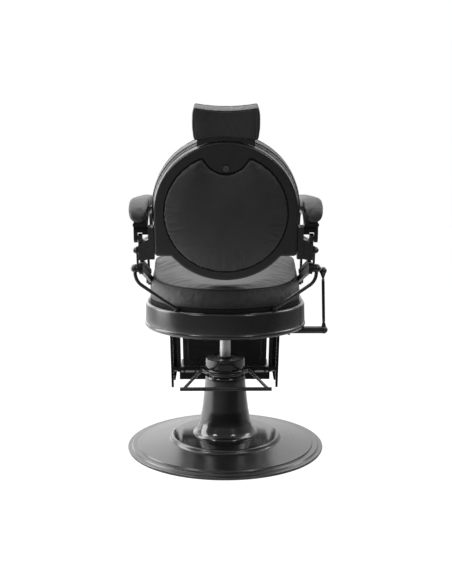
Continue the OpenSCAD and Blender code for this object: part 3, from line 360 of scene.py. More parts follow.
# Group, colour in the panel or a grey, share of it, roughness from and to, strength and depth of the bump (no
# strength: the panel's grain), and other inputs of the group or the shader
FINISHES = {
    "seat_leather": ("leather_grain", "leather", 1, 0.38, 0.5, None, 0.0006,
                     {"Scale": 620.0, "Specular IOR Level": 0.28}),
    "back_leather": ("leather_grain", "leather", 1, 0.36, 0.46, None, 0.0005, {"Scale": 620.0, "IOR": 1.46}),
    "arm_leather": ("leather_grain", "leather", 1, 0.44, 0.54, None, 0.0005,
                    {"Scale": 620.0, "Specular IOR Level": 0.38}),
    "head_leather": ("leather_grain", "leather", 1, 0.56, 0.66, None, 0.0005,
                     {"Scale": 620.0, "Specular IOR Level": 0.3}),
    "stitch_thread": ("leather_grain", "thread", 1, 0.5, 0.7, 0.6, 0.0003, {"Scale": 2600.0}),
    "matt_rubber": ("leather_grain", "rubber", 1, 0.62, 0.75, 0.4, 0.0003, {"Scale": 1500.0}),
    # Near-black matt cord standing in for the shade in seam and rim gaps: painted shade
    "seam_gap": ("leather_grain", 0.003, 1, 0.9, 1.0, 0.2, 0.0002,
                 {"Scale": 2000.0, "Specular IOR Level": 0.05}),
    "black_felt": ("leather_grain", 0.006, 1, 0.85, 0.95, 0.5, 0.0003,
                   {"Scale": 1800.0, "Specular IOR Level": 0.2}),
    "gloss_enamel": ("sprayed_coat", "enamel", 1, 0.1, 0.18, 0.03, 0.0004, {"Dust": 0.05, "IOR": 1.6}),
    "base_enamel": ("sprayed_coat", "enamel", 1, 0.1, 0.16, 0.03, 0.0004,
                    {"Dust": 0.05, "Satin from": 0.19, "Satin": 0.12, "IOR": 1.6}),
    # Painted light: the same satin coat as the frame, made 1.4 times lighter on the apron
    "apron_coat_painted_light": ("sprayed_coat", "coat", 1.4, 0.17, 0.24, 0.05, 0.0003,
                   {"Peel scale": 300.0, "Dust": 0.03, "IOR": 1.55}),
    # Painted shade: the same satin coat as the frame, made 0.8 times darker on rails, hubs and arm frames
    "rail_coat_painted_shade": ("sprayed_coat", "coat", 0.8, 0.34, 0.44, 0.08, 0.0003,
                  {"Peel scale": 520.0, "Dust": 0.03, "Specular IOR Level": 0.22}),
    "satin_coat": ("sprayed_coat", "coat", 1, 0.26, 0.34, 0.08, 0.0003, {"Peel scale": 520.0, "Dust": 0.03}),
    "frame_coat": ("sprayed_coat", "coat", 1, 0.2, 0.3, 0.06, 0.0003, {"Peel scale": 420.0, "Dust": 0.03}),
    "ball_plastic": ("sprayed_coat", "enamel", 0.8, 0.1, 0.16, 0.02, 0.0003, {"Dust": 0.03}),
    "zinc_steel": ("brushed_metal", "chrome", 0.6, 0.25, 0.42, 0.1, 0.0002,
                   {"Line scale": 500.0, "Metallic": 1.0}),
    "dark_steel": ("brushed_metal", "chrome", 0.12, 0.25, 0.4, 0.08, 0.0002, {"Metallic": 1.0}),
    "lock_steel": ("brushed_metal", "chrome", 0.25, 0.12, 0.2, 0.08, 0.0002, {"Metallic": 1.0}),
    "ground_steel": ("brushed_metal", "chrome", 0.6, 0.36, 0.5, 0.04, 0.0002, {"Metallic": 0.55}),
}
GROUPS = {"leather_grain": leather_grain_group, "sprayed_coat": sprayed_coat_group,
          "brushed_metal": brushed_metal_group}


def material(name):
    """Finishes are made on first use: colour, roughness and bump vary, the rest is set on the shader."""
    found = bpy.data.materials.get(name)
    if found:
        return found
    kind, colour, part, low, high, bump, depth, more = FINISHES[name]
    look, coat = bpy.context.scene.chair_upholstery, bpy.context.scene.chair_finish
    if isinstance(colour, str):
        colour = getattr(look if hasattr(look, colour) else coat, colour)
    else:
        colour = (colour,) * 3
    m = bpy.data.materials.new(name)
    m.use_nodes = True
    t = m.node_tree
    s = t.nodes["Principled BSDF"]
    g = node(t, "ShaderNodeGroup", node_tree=bpy.data.node_groups.get(kind) or GROUPS[kind]())
    gloss = "Sheen" if kind == "leather_grain" else "Gloss"
    settings = {"Colour": coloured(colour, part), f"{gloss} low": low, f"{gloss} high": high, **more}
    for k, v in settings.items():
        (g if k in g.inputs else s).inputs[k].default_value = v
    b = node(t, "ShaderNodeBump", {"Strength": look.grain if bump is None else bump, "Distance": depth,
                                   "Height": g.outputs["Height"]})
    t.links.new(g.outputs["Colour"], s.inputs["Base Color"])
    t.links.new(g.outputs["Roughness"], s.inputs["Roughness"])
    t.links.new(b.outputs[0], s.inputs["Normal"])
    return m


# Which finish each metal, rubber or plastic node of the frame has
NODE_FINISH = {
    "base_enamel": ["base_plate"],
    "gloss_enamel": ["column_cover", "pump_head", "column_tube"],
    "apron_coat_painted_light": ["apron"],
    "satin_coat": ["back_frame", "head_bracket", "foot_plate", "leg_board", "leg_frame"],
    "frame_coat": ["pedal", "rear_brace_left", "rear_brace_right", "recline_lever", "side_plate_left",
                   "side_plate_right", "back_hub_left", "back_hub_right", "cheek_left", "cheek_right",
                   "head_stem", "head_sleeve", "leg_plate_left", "leg_plate_right", "pump_cylinder"],
    "rail_coat_painted_shade": ["seat_hub", "seat_frame", "side_rail_left", "side_rail_right", "upper_bar_left",
                  "upper_bar_right", "leg_hinge", "lock_unit", "arm_frame_left", "arm_frame_right",
                  "front_post_left", "front_post_right"],
    "dark_steel": ["hub_pins", "rail_pins", "front_pin_left", "front_pin_right"],
    "lock_steel": ["head_lock"],
    "ground_steel": ["piston_rod", "leg_axle"],
    "zinc_steel": ["column_bolts", "hub_bolts", "lever_bracket"],
    "matt_rubber": ["base_mat", "rod_wiper", "foot_tread"],
    "ball_plastic": ["lever_ball"],
    "black_felt": ["seat_board"],
}
# Width of the softened edge where it isn't half a millimetre
EDGE = {"base_plate": 0.001, "apron": 0.0014, "back_frame": 0.0018, "pump_head": 0.0008,
        "column_cover": 0.0006, "base_mat": 0.0004}


# Shapes of the upholstery

def arc(cx, cy, r, start, end, count):
    turns = [math.radians(start + (end - start) * i / count) for i in range(count + 1)]
    return [(cx + r * math.cos(a), cy + r * math.sin(a)) for a in turns]


# Seat: radius, front edge, corners, draw-in of its top; then foot, height of its side, and rise to the front
SEAT_R, SEAT_FRONT, SEAT_CORNER, SEAT_DRAW = 0.263, 0.221, 0.062, 0.023
SEAT_FOOT, SEAT_SIDE, SEAT_RISE = 0.5443, 0.063, 0.062


def seat_outline(draw):
    """Round at the back, nearly straight at the front, from above; the draw-in fades towards the front."""
    r, front, corner = SEAT_R, SEAT_FRONT, SEAT_CORNER
    line = lambda d: (arc(0, 0, r - d, 180, 360, 56) + arc(r - corner, front - corner, corner - d, 0, 90, 10)
                      + arc(corner - r, front - corner, corner - d, 90, 180, 10))
    points = []
    for p, q in zip(line(0), line(SEAT_DRAW * draw)):
        back = 1 - 0.9 * ((p[1] + r) / (r + front)) ** 2
        points.append((p[0] + (q[0] - p[0]) * back, p[1] + (q[1] - p[1]) * back))
    return points


def seat_point(p, high):
    """Point at a share of the side's height; the side grows towards the front."""
    side = SEAT_SIDE + SEAT_RISE * ((p[1] + SEAT_R) / (SEAT_R + SEAT_FRONT)) ** 2
    return (p[0], p[1], SEAT_FOOT + high * side)


# Rear disc: radius, radius and height of its notch, its horns and their least radius, thickness, and drop
DISC_R, NOTCH_R, NOTCH_UP, HORN_R, HORN_LEAST = 0.1915, 0.0747, 0.2032, 0.010, 0.0033
DISC_THICK, DISC_DROP = 0.017, 0.001


def disc_outline(inset):
    """Disc with a round notch at its top and rounded horns."""
    r, notch, up = DISC_R - inset, NOTCH_R + inset, NOTCH_UP
    horn = max(HORN_R - inset, HORN_LEAST)
    cz = ((r - horn) ** 2 - (notch + horn) ** 2 + up * up) / (2 * up)
    cx = math.sqrt((r - horn) ** 2 - cz * cz)
    high, low = math.degrees(math.atan2(cz, cx)), math.degrees(math.atan2(cz - up, cx))
    return (arc(0, 0, r, 180 - high, 360 + high, 72) + arc(cx, cz, horn, high, 180 + low, 10)
            + arc(0, up, notch, low, -180 - low, 20) + arc(-cx, cz, horn, -low, 180 - high, 10))


# Head rest: foot, half its width, height, depth, bulge of its ends; then radii of its bottom and its top
HEAD_FOOT, HEAD_HALF, HEAD_TALL, HEAD_DEEP, HEAD_BULGE = 0.237, 0.0955, 0.102, 0.064, 0.006
HEAD_LOW_R, HEAD_TOP_R = 0.460, 0.500


def head_outline(inset):
    """Outline of the head rest: bottom arched, top hollow, ends full."""
    b = HEAD_HALF - inset
    low = lambda x: HEAD_FOOT - HEAD_LOW_R + math.sqrt(HEAD_LOW_R ** 2 - x * x) + inset
    top_end = HEAD_FOOT - HEAD_LOW_R + math.sqrt(HEAD_LOW_R ** 2 - b * b) + HEAD_TALL - inset
    top = lambda x: top_end - math.sqrt(HEAD_TOP_R ** 2 - x * x) + math.sqrt(HEAD_TOP_R ** 2 - b * b)
    across = [-b + 2 * b * i / 16 for i in range(17)]
    side = [(math.sqrt(math.sin(math.pi * i / 10)), i / 10) for i in range(1, 10)]
    return ([(x, low(x)) for x in across]
            + [(b + HEAD_BULGE * s, low(b) + (top(b) - low(b)) * t) for s, t in side]
            + [(x, top(x)) for x in reversed(across)]
            + [(-b - HEAD_BULGE * s, top(b) + (low(b) - top(b)) * t) for s, t in side])


HEAD_TURN = Matrix.Translation((0, 0, HEAD_FOOT)) @ Matrix.Rotation(math.radians(3), 4, "X")
HEAD = SHELL @ HEAD_TURN @ Matrix.Translation((0, 0.006, -HEAD_FOOT - 0.0011))

# Arm pad: middle of its width, width, length, rear end, top, height
PAD_X, PAD_WIDE, PAD_LONG, PAD_REAR, PAD_TOP, PAD_TALL = 0.271, 0.064, 0.430, -0.0442, 0.125, 0.046
# Across the arm pad, from behind, the beak inboard, and the points of its two seams
PAD_SECTION = [(-0.5, 0.86), (-0.42, 0.62), (-0.33, 0.36), (-0.3, 0.16), (-0.18, 0.03), (0.06, 0),
               (0.3, 0.08), (0.44, 0.26), (0.5, 0.52), (0.5, 0.82), (0.42, 0.98), (0.12, 1), (-0.24, 1),
               (-0.43, 0.97)]
PAD_SEAMS = (13, 9)
# Along the arm pad, from its rear end: place, width, lowest, highest, all as shares
PAD_PATH = [(0, 0.5, -0.5, -0.2), (0.006, 0.72, -0.58, -0.02), (0.025, 0.9, -0.68, 0.24),
            (0.06, 1, -0.72, 0.54), (0.1, 1, -0.62, 0.8), (0.15, 1, -0.3, 0.95), (0.2, 0.98, -0.02, 1.01),
            (0.3, 0.96, 0, 1),
            (0.55, 0.96, 0, 0.95), (0.8, 0.97, 0, 0.88), (0.9, 0.97, -0.03, 0.84), (0.96, 0.9, 0, 0.76),
            (0.99, 0.72, 0.06, 0.64), (1, 0.5, 0.18, 0.5)]

# Leg rest cushion: half its width and height, its corners, and how far its middle lies below the hinge
LEG_HALF, LEG_TALL, LEG_CORNER, LEG_DROP = 0.162, 0.0975, 0.023, 0.1155
LEG_MIDDLE = LEG @ Matrix.Translation((0, 0, -LEG_DROP))


def leg_outline():
    w, h, c = LEG_HALF, LEG_TALL, LEG_CORNER
    return (arc(w - c, h - c, c, 0, 90, 6) + arc(c - w, h - c, c, 90, 180, 6)
            + arc(c - w, c - h, c, 180, 270, 6) + arc(w - c, c - h, c, 270, 360, 6))


# How a cushion fills

def fill_cushion(o, seams, cell, pull, held=None, wrinkle=0.012):
    """Cloth blown up by its foam: held along the seams, free between them, on a mesh of even cells."""
    look = bpy.context.scene.chair_upholstery
    even = add_modifier(o, "REMESH", "even cells", mode="VOXEL", voxel_size=cell)
    even.use_smooth_shade = True
    apply_modifiers(o)
    tree = kdtree.KDTree(sum(len(s) for s in seams))
    for k, p in enumerate(p for s in seams for p in s):
        tree.insert(p, k)
    tree.balance()
    mesh = o.data
    outward = [v.normal.copy() for v in mesh.vertices]
    pinned, start = [], []
    for v, n in zip(mesh.vertices, outward):
        near = tree.find(v.co)[2]
        if near < cell * 0.8 or (held and held(v.co)):
            pinned.append(v.index)
            start.append(v.co.copy())
        else:
            start.append(v.co - n * pull * min(1, near / 0.02))
    mesh.vertices.foreach_set("co", [c for p in start for c in p])
    mesh.update()
    group = o.vertex_groups.new(name="seams")
    group.add(pinned, 1.0, "REPLACE")
    cloth = add_modifier(o, "CLOTH", "leather over foam")
    s = cloth.settings
    s.quality = 3
    s.mass = 0.2
    s.tension_stiffness = s.compression_stiffness = 14
    s.shear_stiffness = 6
    s.bending_stiffness = 0.4
    s.use_pressure = True
    s.uniform_pressure_force = 4
    s.shrink_min = s.shrink_max = -wrinkle
    s.vertex_group_mass = group.name
    s.effector_weights.gravity = 0
    cloth.point_cache.frame_start, cloth.point_cache.frame_end = 1, 20
    for f in range(1, 21):
        bpy.context.scene.frame_set(f)
    apply_modifiers(o)
    bpy.context.scene.frame_set(1)
    if len(o.data.vertices) != len(start):
        raise RuntimeError(f"{o.name}: the cloth came back with other cells")
    filled = []
    for v, p in zip(o.data.vertices, start):
        moved = v.co - p
        filled.extend(p + moved * min(1, look.swell / max(moved.length, 1e-9)))
    o.data.vertices.foreach_set("co", filled)
    o.data.update()
    add_modifier(o, "SUBSURF", "soft skin", levels=1, render_levels=1)
    apply_modifiers(o)
    for p in o.data.polygons:
        p.use_smooth = True


def laid_on(o, points, lift=0.0):
    """The points moved to the nearest place on the skin, with the skin's normals."""
    skin = bvhtree.BVHTree.FromObject(o, bpy.context.evaluated_depsgraph_get())
    places, normals = [], []
    for p in points:
        at, normal = skin.find_nearest(p)[:2]
        places.append(at + normal * lift)
        normals.append(normal)
    return places, normals


def placed(at, points):
    return [at @ Vector(p) for p in points]


def dress(o, body, name):
    """The cushion rides on its body and stands for its plain shape, which is hidden."""
    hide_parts(name)
    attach(o, body)


def trim(o, body):
    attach(o, body)


def cord_on(o, body, name, line, lift, radius, finish, closed=True):
    """Welt, seam, bead or near-black cord of painted gap shade laid along a line on the skin."""
    trim(tube(name, laid_on(o, line, lift)[0], radius, material(finish), closed=closed), body)


def stitches_on(o, body, name, line, width, closed=False):
    at, normals = laid_on(o, line)
    trim(stitches(name, at, normals, width, material("stitch_thread"), closed=closed), body)


# Operators, one for each piece or group of like pieces

class ChairStep(bpy.types.Operator):
    """Shared parts of the steps that build the chair."""
    bl_options = {"REGISTER"}

    def execute(self, context):
        self.build(context.scene.chair_upholstery)
        return {"FINISHED"}


class CHAIR_OT_finish_frame(ChairStep):
    """Gives every metal, rubber and plastic piece of the frame its finish and softened edges"""
    bl_idname = "chair.finish_frame"
    bl_label = "Finish the frame"

    def build(self, look):
        for finish, names in NODE_FINISH.items():
            for name in names:
                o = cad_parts[name]
                o.data.materials.clear()
                o.data.materials.append(material(finish))
                for p in o.data.polygons:
                    p.use_smooth = True
                add_modifier(o, "WELD", "joined corners", merge_threshold=0.00001)
                edge = add_modifier(o, "BEVEL", "softened edges", width=EDGE.get(name, 0.0005), segments=2,
                                    limit_method="ANGLE")
                edge.angle_limit = math.radians(38)
                edge.harden_normals = True
                edge.use_clamp_overlap = True
                add_modifier(o, "WEIGHTED_NORMAL", "even faces", keep_sharp=True)


class CHAIR_OT_seat_cushion(ChairStep):
    """Builds the seat cushion: boxed sides that draw in to a welted top seam, with two rows of stitches"""
    bl_idname = "chair.seat_cushion"
    bl_label = "Seat cushion"

    def build(self, look):
        sides = [(0, 0.2), (0.04, 0.02), (0.2, 0), (0.45, 0.2), (0.7, 0.52), (0.9, 0.84), (1, 1)]
        crown = [(0.03, 0.025), (0.09, 0.07), (0.25, 0.12), (0.55, 0.17), (0.9, 0.185)]
        rings = [[seat_point(p, h) for p in seat_outline(d)] for h, d in sides]
        rings += [[seat_point((p[0] * (1 - d), p[1] * (1 - d)), 1 + h) for p in seat_outline(1)]
                  for d, h in crown]
        o = new_object("seat_upholstery", ring_mesh("seat_upholstery", rings), material("seat_leather"))
        round_at = lambda high, draw, step: resample([seat_point(p, high) for p in seat_outline(draw)],
                                                     True, step)
        seam = resample(rings[len(sides) - 1], True, SEAM_STEP)
        low, under = round_at(0.9, 0.84, SEAM_STEP), round_at(0.955, 0.93, SEAM_STEP)
        fill_cushion(o, [seam, low], 0.006, 0.0025, held=lambda p: p.z < SEAT_FOOT + 0.0032)
        dress(o, "seat", "seat_cushion")
        cord_on(o, "seat", "seat_welt", seam, 0.0004, look.welt * 0.7, "seat_leather")
        # Painted shade: a near-black cord just under the top welt stands for the shadowed groove of the seam
        cord_on(o, "seat", "seat_painted_gap_shade", under, -0.0002, look.welt * 0.42, "seam_gap")
        cord_on(o, "seat", "seat_lower_welt", low, 0.0002, look.welt * 0.45, "seat_leather")
        for high, draw, row in ((0.965, 0.94, "outer"), (1.0, 1.17, "inner")):
            line = round_at(high, draw, look.stitch)
            stitches_on(o, "seat", f"seat_stitches_{row}", line, 0.0011, closed=True)


class CHAIR_OT_back_cushion(ChairStep):
    """Builds the round back cushion with two welted seams round its boxing"""
    bl_idname = "chair.back_cushion"
    bl_label = "Back cushion"

    def build(self, look):
        sides = [(0.9, 0), (0.35, 0.03), (0.1, 0.2), (0, 0.5), (0.06, 0.72), (0.3, 0.82), (0.5, 0.84)]
        crown = [(0.93, 0.88), (0.8, 0.94), (0.5, 0.985), (0.2, 1)]
        ring = lambda r, h: [(x, 0.0303 + 0.078 * h, z) for x, z in arc(0, 0, r, 0, 356.25, 95)]
        rings = [ring(0.232 - 0.018 * d, h) for d, h in sides] + [ring(0.232 * k, h) for k, h in crown]
        o = new_object("back_upholstery", ring_mesh("back_upholstery", rings, at=SHELL, flip=True),
                       material("back_leather"))
        lines = [resample(placed(SHELL, r), True, SEAM_STEP) for r in (ring(0.2302, 0.2), ring(0.2310, 0.72))]
        flat = SHELL.inverted()
        fill_cushion(o, lines, 0.006, 0.002, held=lambda p: (flat @ p).y < 0.0325)
        dress(o, "back", "back_cushion")
        for k, line in enumerate(lines):
            cord_on(o, "back", f"back_welt_{k}", line, 0.0004, look.welt * 0.8, "back_leather")


class CHAIR_OT_back_disc(ChairStep):
    """Builds the padded disc behind the back frame, its rolled rim, and painted shade in the gap round it"""
    bl_idname = "chair.back_disc"
    bl_label = "Rear disc"

    def build(self, look):
        rim = [(0.06, 0), (0, 0.1), (0.03, 0.26), (0.12, 0.42), (0.28, 0.57), (0.5, 0.7), (0.75, 0.8),
               (1, 0.86)]
        crown = [(0.7, 0.94), (0.35, 0.99)]
        ring = lambda d, h, k=1: [(x * k, -0.0003 - DISC_THICK * h, z * k - DISC_DROP)
                                  for x, z in disc_outline(d)]
        rings = [ring(0.042 * d, h) for d, h in rim] + [ring(0.042, h, k) for k, h in crown]
        o = new_object("disc_upholstery", ring_mesh("disc_upholstery", rings, at=SHELL),
                       material("back_leather"))
        seam = resample(placed(SHELL, ring(0.0255 * 0.03, 0.3)), True, SEAM_STEP)
        flat = SHELL.inverted()
        fill_cushion(o, [seam], 0.005, 0.001, held=lambda p: (flat @ p).y > -0.004, wrinkle=0.004)
        dress(o, "back", "back_disc")
        # Painted shade: a near-black cord round the disc's foot stands for the shadowed gap to the frame
        foot = resample(placed(SHELL, ring(-0.0005, 0.03)), True, SEAM_STEP)
        trim(tube("disc_painted_gap_shade", foot, look.welt * 0.7, material("seam_gap")), "back")


class CHAIR_OT_head_cushion(ChairStep):
    """Builds the head rest: rear panel with a stitched border, boxed ends and a full front"""
    bl_idname = "chair.head_cushion"
    bl_label = "Head rest"

    def build(self, look):
        shares = [(1.4, 0), (0.5, 0.015), (0.1, 0.08), (0, 0.3), (0.15, 0.6), (0.6, 0.82), (1.6, 0.93),
                  (4, 0.985), (8, 1)]
        ring = lambda d, h: [(x, HEAD_DEEP * h, z) for x, z in head_outline(0.005 * d)]
        rings = [ring(d, h) for d, h in shares]
        o = new_object("head_upholstery", ring_mesh("head_upholstery", rings, at=HEAD, flip=True),
                       material("head_leather"))
        rear = resample(placed(HEAD, ring(0.5, 0.015)), True, FINE_STEP)
        front = resample(placed(HEAD, ring(0.6, 0.82)), True, FINE_STEP)
        fill_cushion(o, [rear, front], 0.004, 0.0015, wrinkle=0.006)
        dress(o, "head", "head_cushion")
        for end, line in (("rear", rear), ("front", front)):
            cord_on(o, "head", f"head_{end}_welt", line, 0.0003, look.welt * 0.6, "head_leather")
        thread = 0.0015
        for k, side in ((-1, "left"), (1, "right")):
            line = placed(HEAD, [(k * 0.0905, -0.001, z / 1000) for z in range(233, 335, 3)])
            stitches_on(o, "head", f"head_stitches_{side}", line, thread)
        top = [(x, -0.001, z) for x, z in head_outline(0.008) if z > 0.3 and abs(x) < 0.0875]
        stitches_on(o, "head", "head_stitches_top", resample(placed(HEAD, top), False, look.stitch), thread)


class CHAIR_OT_arm_pads(ChairStep):
    """Builds the two arm pads with a seam along both top edges"""
    bl_idname = "chair.arm_pads"
    bl_label = "Arm pads"

    def build(self, look):
        for side, label, body in ((-1, "left", "arm_l"), (1, "right", "arm_r")):
            rings = [[(side * (PAD_X + PAD_WIDE * w * x), PAD_LONG * y + PAD_REAR,
                       PAD_TOP - PAD_TALL * (1 - low) + PAD_TALL * (high - low) * z) for x, z in PAD_SECTION]
                     for y, w, low, high in PAD_PATH]
            name = f"arm_upholstery_{label}"
            o = new_object(name, ring_mesh(name, rings, at=ARM, flip=side > 0), material("arm_leather"))
            smooth = add_modifier(o, "SUBSURF", "rounded", levels=2, render_levels=2)
            smooth.boundary_smooth = "ALL"
            apply_modifiers(o)
            lines = [resample(placed(ARM, [r[k] for r in rings[2:-1]]), False, FINE_STEP) for k in PAD_SEAMS]
            fill_cushion(o, lines, 0.004, 0.001, wrinkle=0.006)
            dress(o, body, f"arm_pad_{label}")
            for k, line in enumerate(lines):
                cord_on(o, body, f"arm_seam_{label}_{k}", line, 0.0001, look.welt * 0.45, "arm_leather",
                        closed=False)


class CHAIR_OT_leg_cushion(ChairStep):
    """Builds the leg rest's cushion on its board"""
    bl_idname = "chair.leg_cushion"
    bl_label = "Leg rest cushion"

    def build(self, look):
        shares = [(0.05, 0), (0, 0.1), (0, 0.45), (0.04, 0.72), (0.14, 0.9), (0.4, 1)]
        ring = lambda d, h: [(x * (1 - d * 195 / 162), 0.0028 + 0.046 * h, z * (1 - d * 1.6))
                             for x, z in leg_outline()]
        rings = [ring(d, h) for d, h in shares]
        o = new_object("leg_upholstery", ring_mesh("leg_upholstery", rings, at=LEG_MIDDLE, flip=True),
                       material("seat_leather"))
        lines = [resample(placed(LEG_MIDDLE, ring(0, h)), True, SEAM_STEP) for h in (0.12, 0.6)]
        fill_cushion(o, lines, 0.0055, 0.0015)
        dress(o, "leg", "leg_cushion")
        for k, line in enumerate(lines):
            cord_on(o, "leg", f"leg_welt_{k}", line, 0.0003, look.welt * 0.8, "seat_leather")


class CHAIR_OT_leg_flanges(ChairStep):
    """Builds the folded edge of each leg rest side plate, and the bead round the board's back"""
    bl_idname = "chair.leg_flanges"
    bl_label = "Leg plate flanges"

    def build(self, look):
        edge = [(0.2008, -0.042), (0.1835, -0.058), (0.1855, -0.24), (0.195, -0.296), (0.2008, -0.296)]
        for side, label in ((-1, "left"), (1, "right")):
            rings = [[(side * x, y, z) for x, z in edge] for y in (0.0121, 0.0149)]
            name = f"leg_flange_{label}"
            o = new_object(name, ring_mesh(name, rings, at=LEG, flip=side < 0), material("frame_coat"),
                           smooth=False)
            add_modifier(o, "BEVEL", "folded edge", width=0.0004, segments=2, limit_method="ANGLE")
            trim(o, "leg")
        round_it = [(x * 0.87, -0.03, z * 0.78) for x, z in leg_outline()]
        bead = resample(placed(LEG_MIDDLE, round_it), True, 0.006)
        cord_on(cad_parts["leg_board"], "leg", "board_bead", bead, 0.0004, 0.0016, "satin_coat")


class CHAIR_OT_lever_sleeve(ChairStep):
    """Slides the plastic sleeve over the recline lever's rod"""
    bl_idname = "chair.lever_sleeve"
    bl_label = "Lever sleeve"

    def build(self, look):
        lean, foot = math.radians(1.8), Vector((0.350, 0, 0.424))
        rod = [foot + h * Vector((-math.sin(lean), 0, math.cos(lean))) for h in (0.03, 0.1, 0.182)]
        sleeve = tube("lever_sleeve", resample(rod, False, 0.01), 0.0054, material("ball_plastic"),
                      closed=False, sides=20)
        trim(sleeve, "lever")


# Lamps of the studio: place, size in metres, power in watts
LAMPS = {"overhead": ((-0.3, 0.2, 2.7), (2.2, 1.6), 60), "left_bank": ((-2.3, 0.3, 1.2), (1.2, 2.0), 55),
         "right_bank": ((2.0, 0.5, 1.9), (0.8, 1.6), 22), "rear_left": ((-2.2, -2.2, 2.1), (0.7, 0.9), 24),
         "rear_right": ((1.7, -2.5, 2.1), (0.6, 0.8), 16)}
LAMPS_AT = Vector((0, 0, 0.6))
FLOOR_HALF = 9


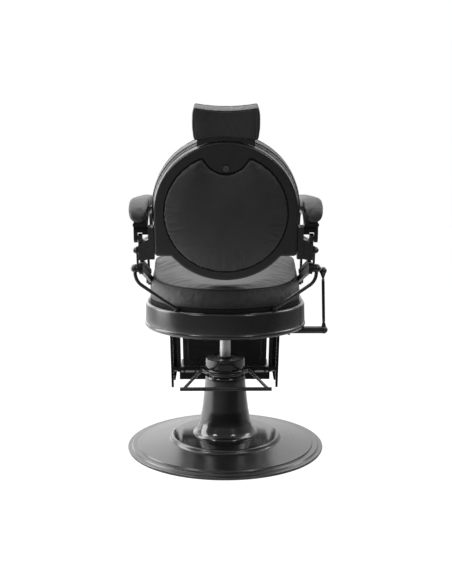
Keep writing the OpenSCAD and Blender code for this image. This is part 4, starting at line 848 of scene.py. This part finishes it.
class CHAIR_OT_studio(bpy.types.Operator):
    """Sets up floor, backdrop, lamps and camera as the photograph has them"""
    bl_idname = "chair.studio"
    bl_label = "Studio"

    def execute(self, context):
        scene = context.scene
        studio = scene.chair_studio
        self.floor(studio)
        self.world(scene, studio)
        for name, (place, size, power) in LAMPS.items():
            self.lamp(scene, name, Vector(place), size, power)
        cam = bpy.data.objects.new("camera", bpy.data.cameras.new("camera"))
        scene.collection.objects.link(cam)
        cam.data.lens = studio.lens
        cam.data.sensor_width = 36
        cam.location = (-studio.away * math.sin(studio.turn), -studio.away * math.cos(studio.turn),
                        studio.high)
        cam.rotation_euler = (math.pi / 2 - studio.tip, 0, -studio.turn - math.radians(0.053))
        scene.camera = cam
        scene.view_settings.view_transform = "Standard"
        return {"FINISHED"}

    def floor(self, studio):
        mesh = bpy.data.meshes.new("floor")
        corners = [(FLOOR_HALF * x, FLOOR_HALF * y, 0) for x, y in ((-1, -1), (1, -1), (1, 1), (-1, 1))]
        mesh.from_pydata(corners, [], [(0, 1, 2, 3)])
        m = bpy.data.materials.new("studio_floor")
        m.use_nodes = True
        t = m.node_tree
        t.nodes.clear()
        path = node(t, "ShaderNodeLightPath")
        place = node(t, "ShaderNodeSeparateXYZ", {0: node(t, "ShaderNodeTexCoord").outputs["Object"]})
        # Reflections show a floor that darkens towards the camera and to the right
        dim = spread(t, place.outputs["Y"], -1.0, -0.35, 0.2, 0.85)
        wide = spread(t, place.outputs["X"], -1.2, 1.2, 1.5, 0.35)
        tone = node(t, "ShaderNodeMix", {0: path.outputs["Is Glossy Ray"], 2: 1.0,
                                         3: calc(t, "MULTIPLY", dim, wide)})
        shade = node(t, "ShaderNodeVectorMath", {0: tuple(studio.backdrop), "Scale": tone.outputs[0]},
                     operation="SCALE")
        paper = node(t, "ShaderNodeBsdfDiffuse", {"Color": shade.outputs[0]})
        glow = node(t, "ShaderNodeEmission", {"Color": coloured(studio.backdrop), "Strength": 1.1})
        part = calc(t, "MULTIPLY", path.outputs["Is Camera Ray"], 0.88)
        mix = node(t, "ShaderNodeMixShader", {0: part, 1: paper.outputs[0], 2: glow.outputs[0]})
        node(t, "ShaderNodeOutputMaterial", {"Surface": mix.outputs[0]})
        new_object("floor", mesh, m, smooth=False)

    def world(self, scene, studio):
        world = bpy.data.worlds.new("studio")
        scene.world = world
        world.use_nodes = True
        t = world.node_tree
        t.nodes.clear()
        path = node(t, "ShaderNodeLightPath")
        way = node(t, "ShaderNodeSeparateXYZ", {0: node(t, "ShaderNodeTexCoord").outputs["Generated"]})
        # Reflections show a room that is dark behind the camera and brighter to the left than to the right
        depth = spread(t, way.outputs["Y"], -0.45, 0.25, 0.012, 1.0)
        left = spread(t, way.outputs["X"], -0.9, 0.0, 4.5, 1.5)
        right = spread(t, way.outputs["X"], 0.0, 0.9, 1.0, 0.35)
        sides = calc(t, "MULTIPLY", left, right)
        # Level faces seen from the right would mirror the whole bright side, so it fades above the horizon
        far_left = spread(t, way.outputs["X"], -0.85, -0.5, 1.0, 0.0)
        raised = spread(t, way.outputs["Z"], 0.0, 0.08, 0.0, 1.0)
        calm = spread(t, calc(t, "MULTIPLY", far_left, raised), 0.0, 1.0, 1.0, 0.2)
        above = spread(t, way.outputs["Z"], 0.08, 0.5, 0.0, 0.35)
        room = calc(t, "MULTIPLY_ADD", depth, calc(t, "MULTIPLY", sides, calm), above)
        seen = calc(t, "MAXIMUM", path.outputs["Is Camera Ray"], path.outputs["Is Transmission Ray"])
        shiny = node(t, "ShaderNodeMix", {0: path.outputs["Is Glossy Ray"], 2: 0.4, 3: room})
        level = node(t, "ShaderNodeMix", {0: seen, 2: shiny.outputs[0], 3: 1.0})
        sky = node(t, "ShaderNodeBackground", {"Color": coloured(studio.backdrop),
                                               "Strength": level.outputs[0]})
        node(t, "ShaderNodeOutputWorld", {"Surface": sky.outputs[0]})

    def lamp(self, scene, name, place, size, power):
        light = bpy.data.lights.new(name, "AREA")
        light.shape = "RECTANGLE"
        light.size, light.size_y = size
        light.energy = power
        o = bpy.data.objects.new(name, light)
        o.location = place
        o.rotation_euler = (LAMPS_AT - place).to_track_quat("-Z", "Y").to_euler()
        scene.collection.objects.link(o)


class CHAIR_PT_panel(bpy.types.Panel):
    """Sizes, colours and steps of the barber chair"""
    bl_idname = "CHAIR_PT_panel"
    bl_label = "Barber chair"
    bl_space_type = "VIEW_3D"
    bl_region_type = "UI"
    bl_category = "Barber chair"

    def draw(self, context):
        for group in (context.scene.chair_upholstery, context.scene.chair_finish, context.scene.chair_studio):
            box = self.layout.box()
            for name in group.__annotations__:
                box.prop(group, name)
        for step in STEPS:
            self.layout.operator(step.bl_idname)


STEPS = (CHAIR_OT_seat_cushion, CHAIR_OT_back_cushion, CHAIR_OT_back_disc, CHAIR_OT_head_cushion,
         CHAIR_OT_arm_pads, CHAIR_OT_leg_cushion, CHAIR_OT_leg_flanges, CHAIR_OT_lever_sleeve,
         CHAIR_OT_finish_frame, CHAIR_OT_studio)
CLASSES = (ChairUpholstery, ChairFinish, ChairStudio, *STEPS, CHAIR_PT_panel)


def register():
    for c in CLASSES:
        bpy.utils.register_class(c)
    bpy.types.Scene.chair_upholstery = bpy.props.PointerProperty(type=ChairUpholstery)
    bpy.types.Scene.chair_finish = bpy.props.PointerProperty(type=ChairFinish)
    bpy.types.Scene.chair_studio = bpy.props.PointerProperty(type=ChairStudio)


def unregister():
    del bpy.types.Scene.chair_upholstery, bpy.types.Scene.chair_finish, bpy.types.Scene.chair_studio
    for c in reversed(CLASSES):
        bpy.utils.unregister_class(c)


def main():
    register()
    for step in STEPS:
        area, name = step.bl_idname.split(".")
        if getattr(getattr(bpy.ops, area), name)() != {"FINISHED"}:
            raise RuntimeError(f"{step.bl_label} did not finish")


if __name__ == "__main__":
    main()
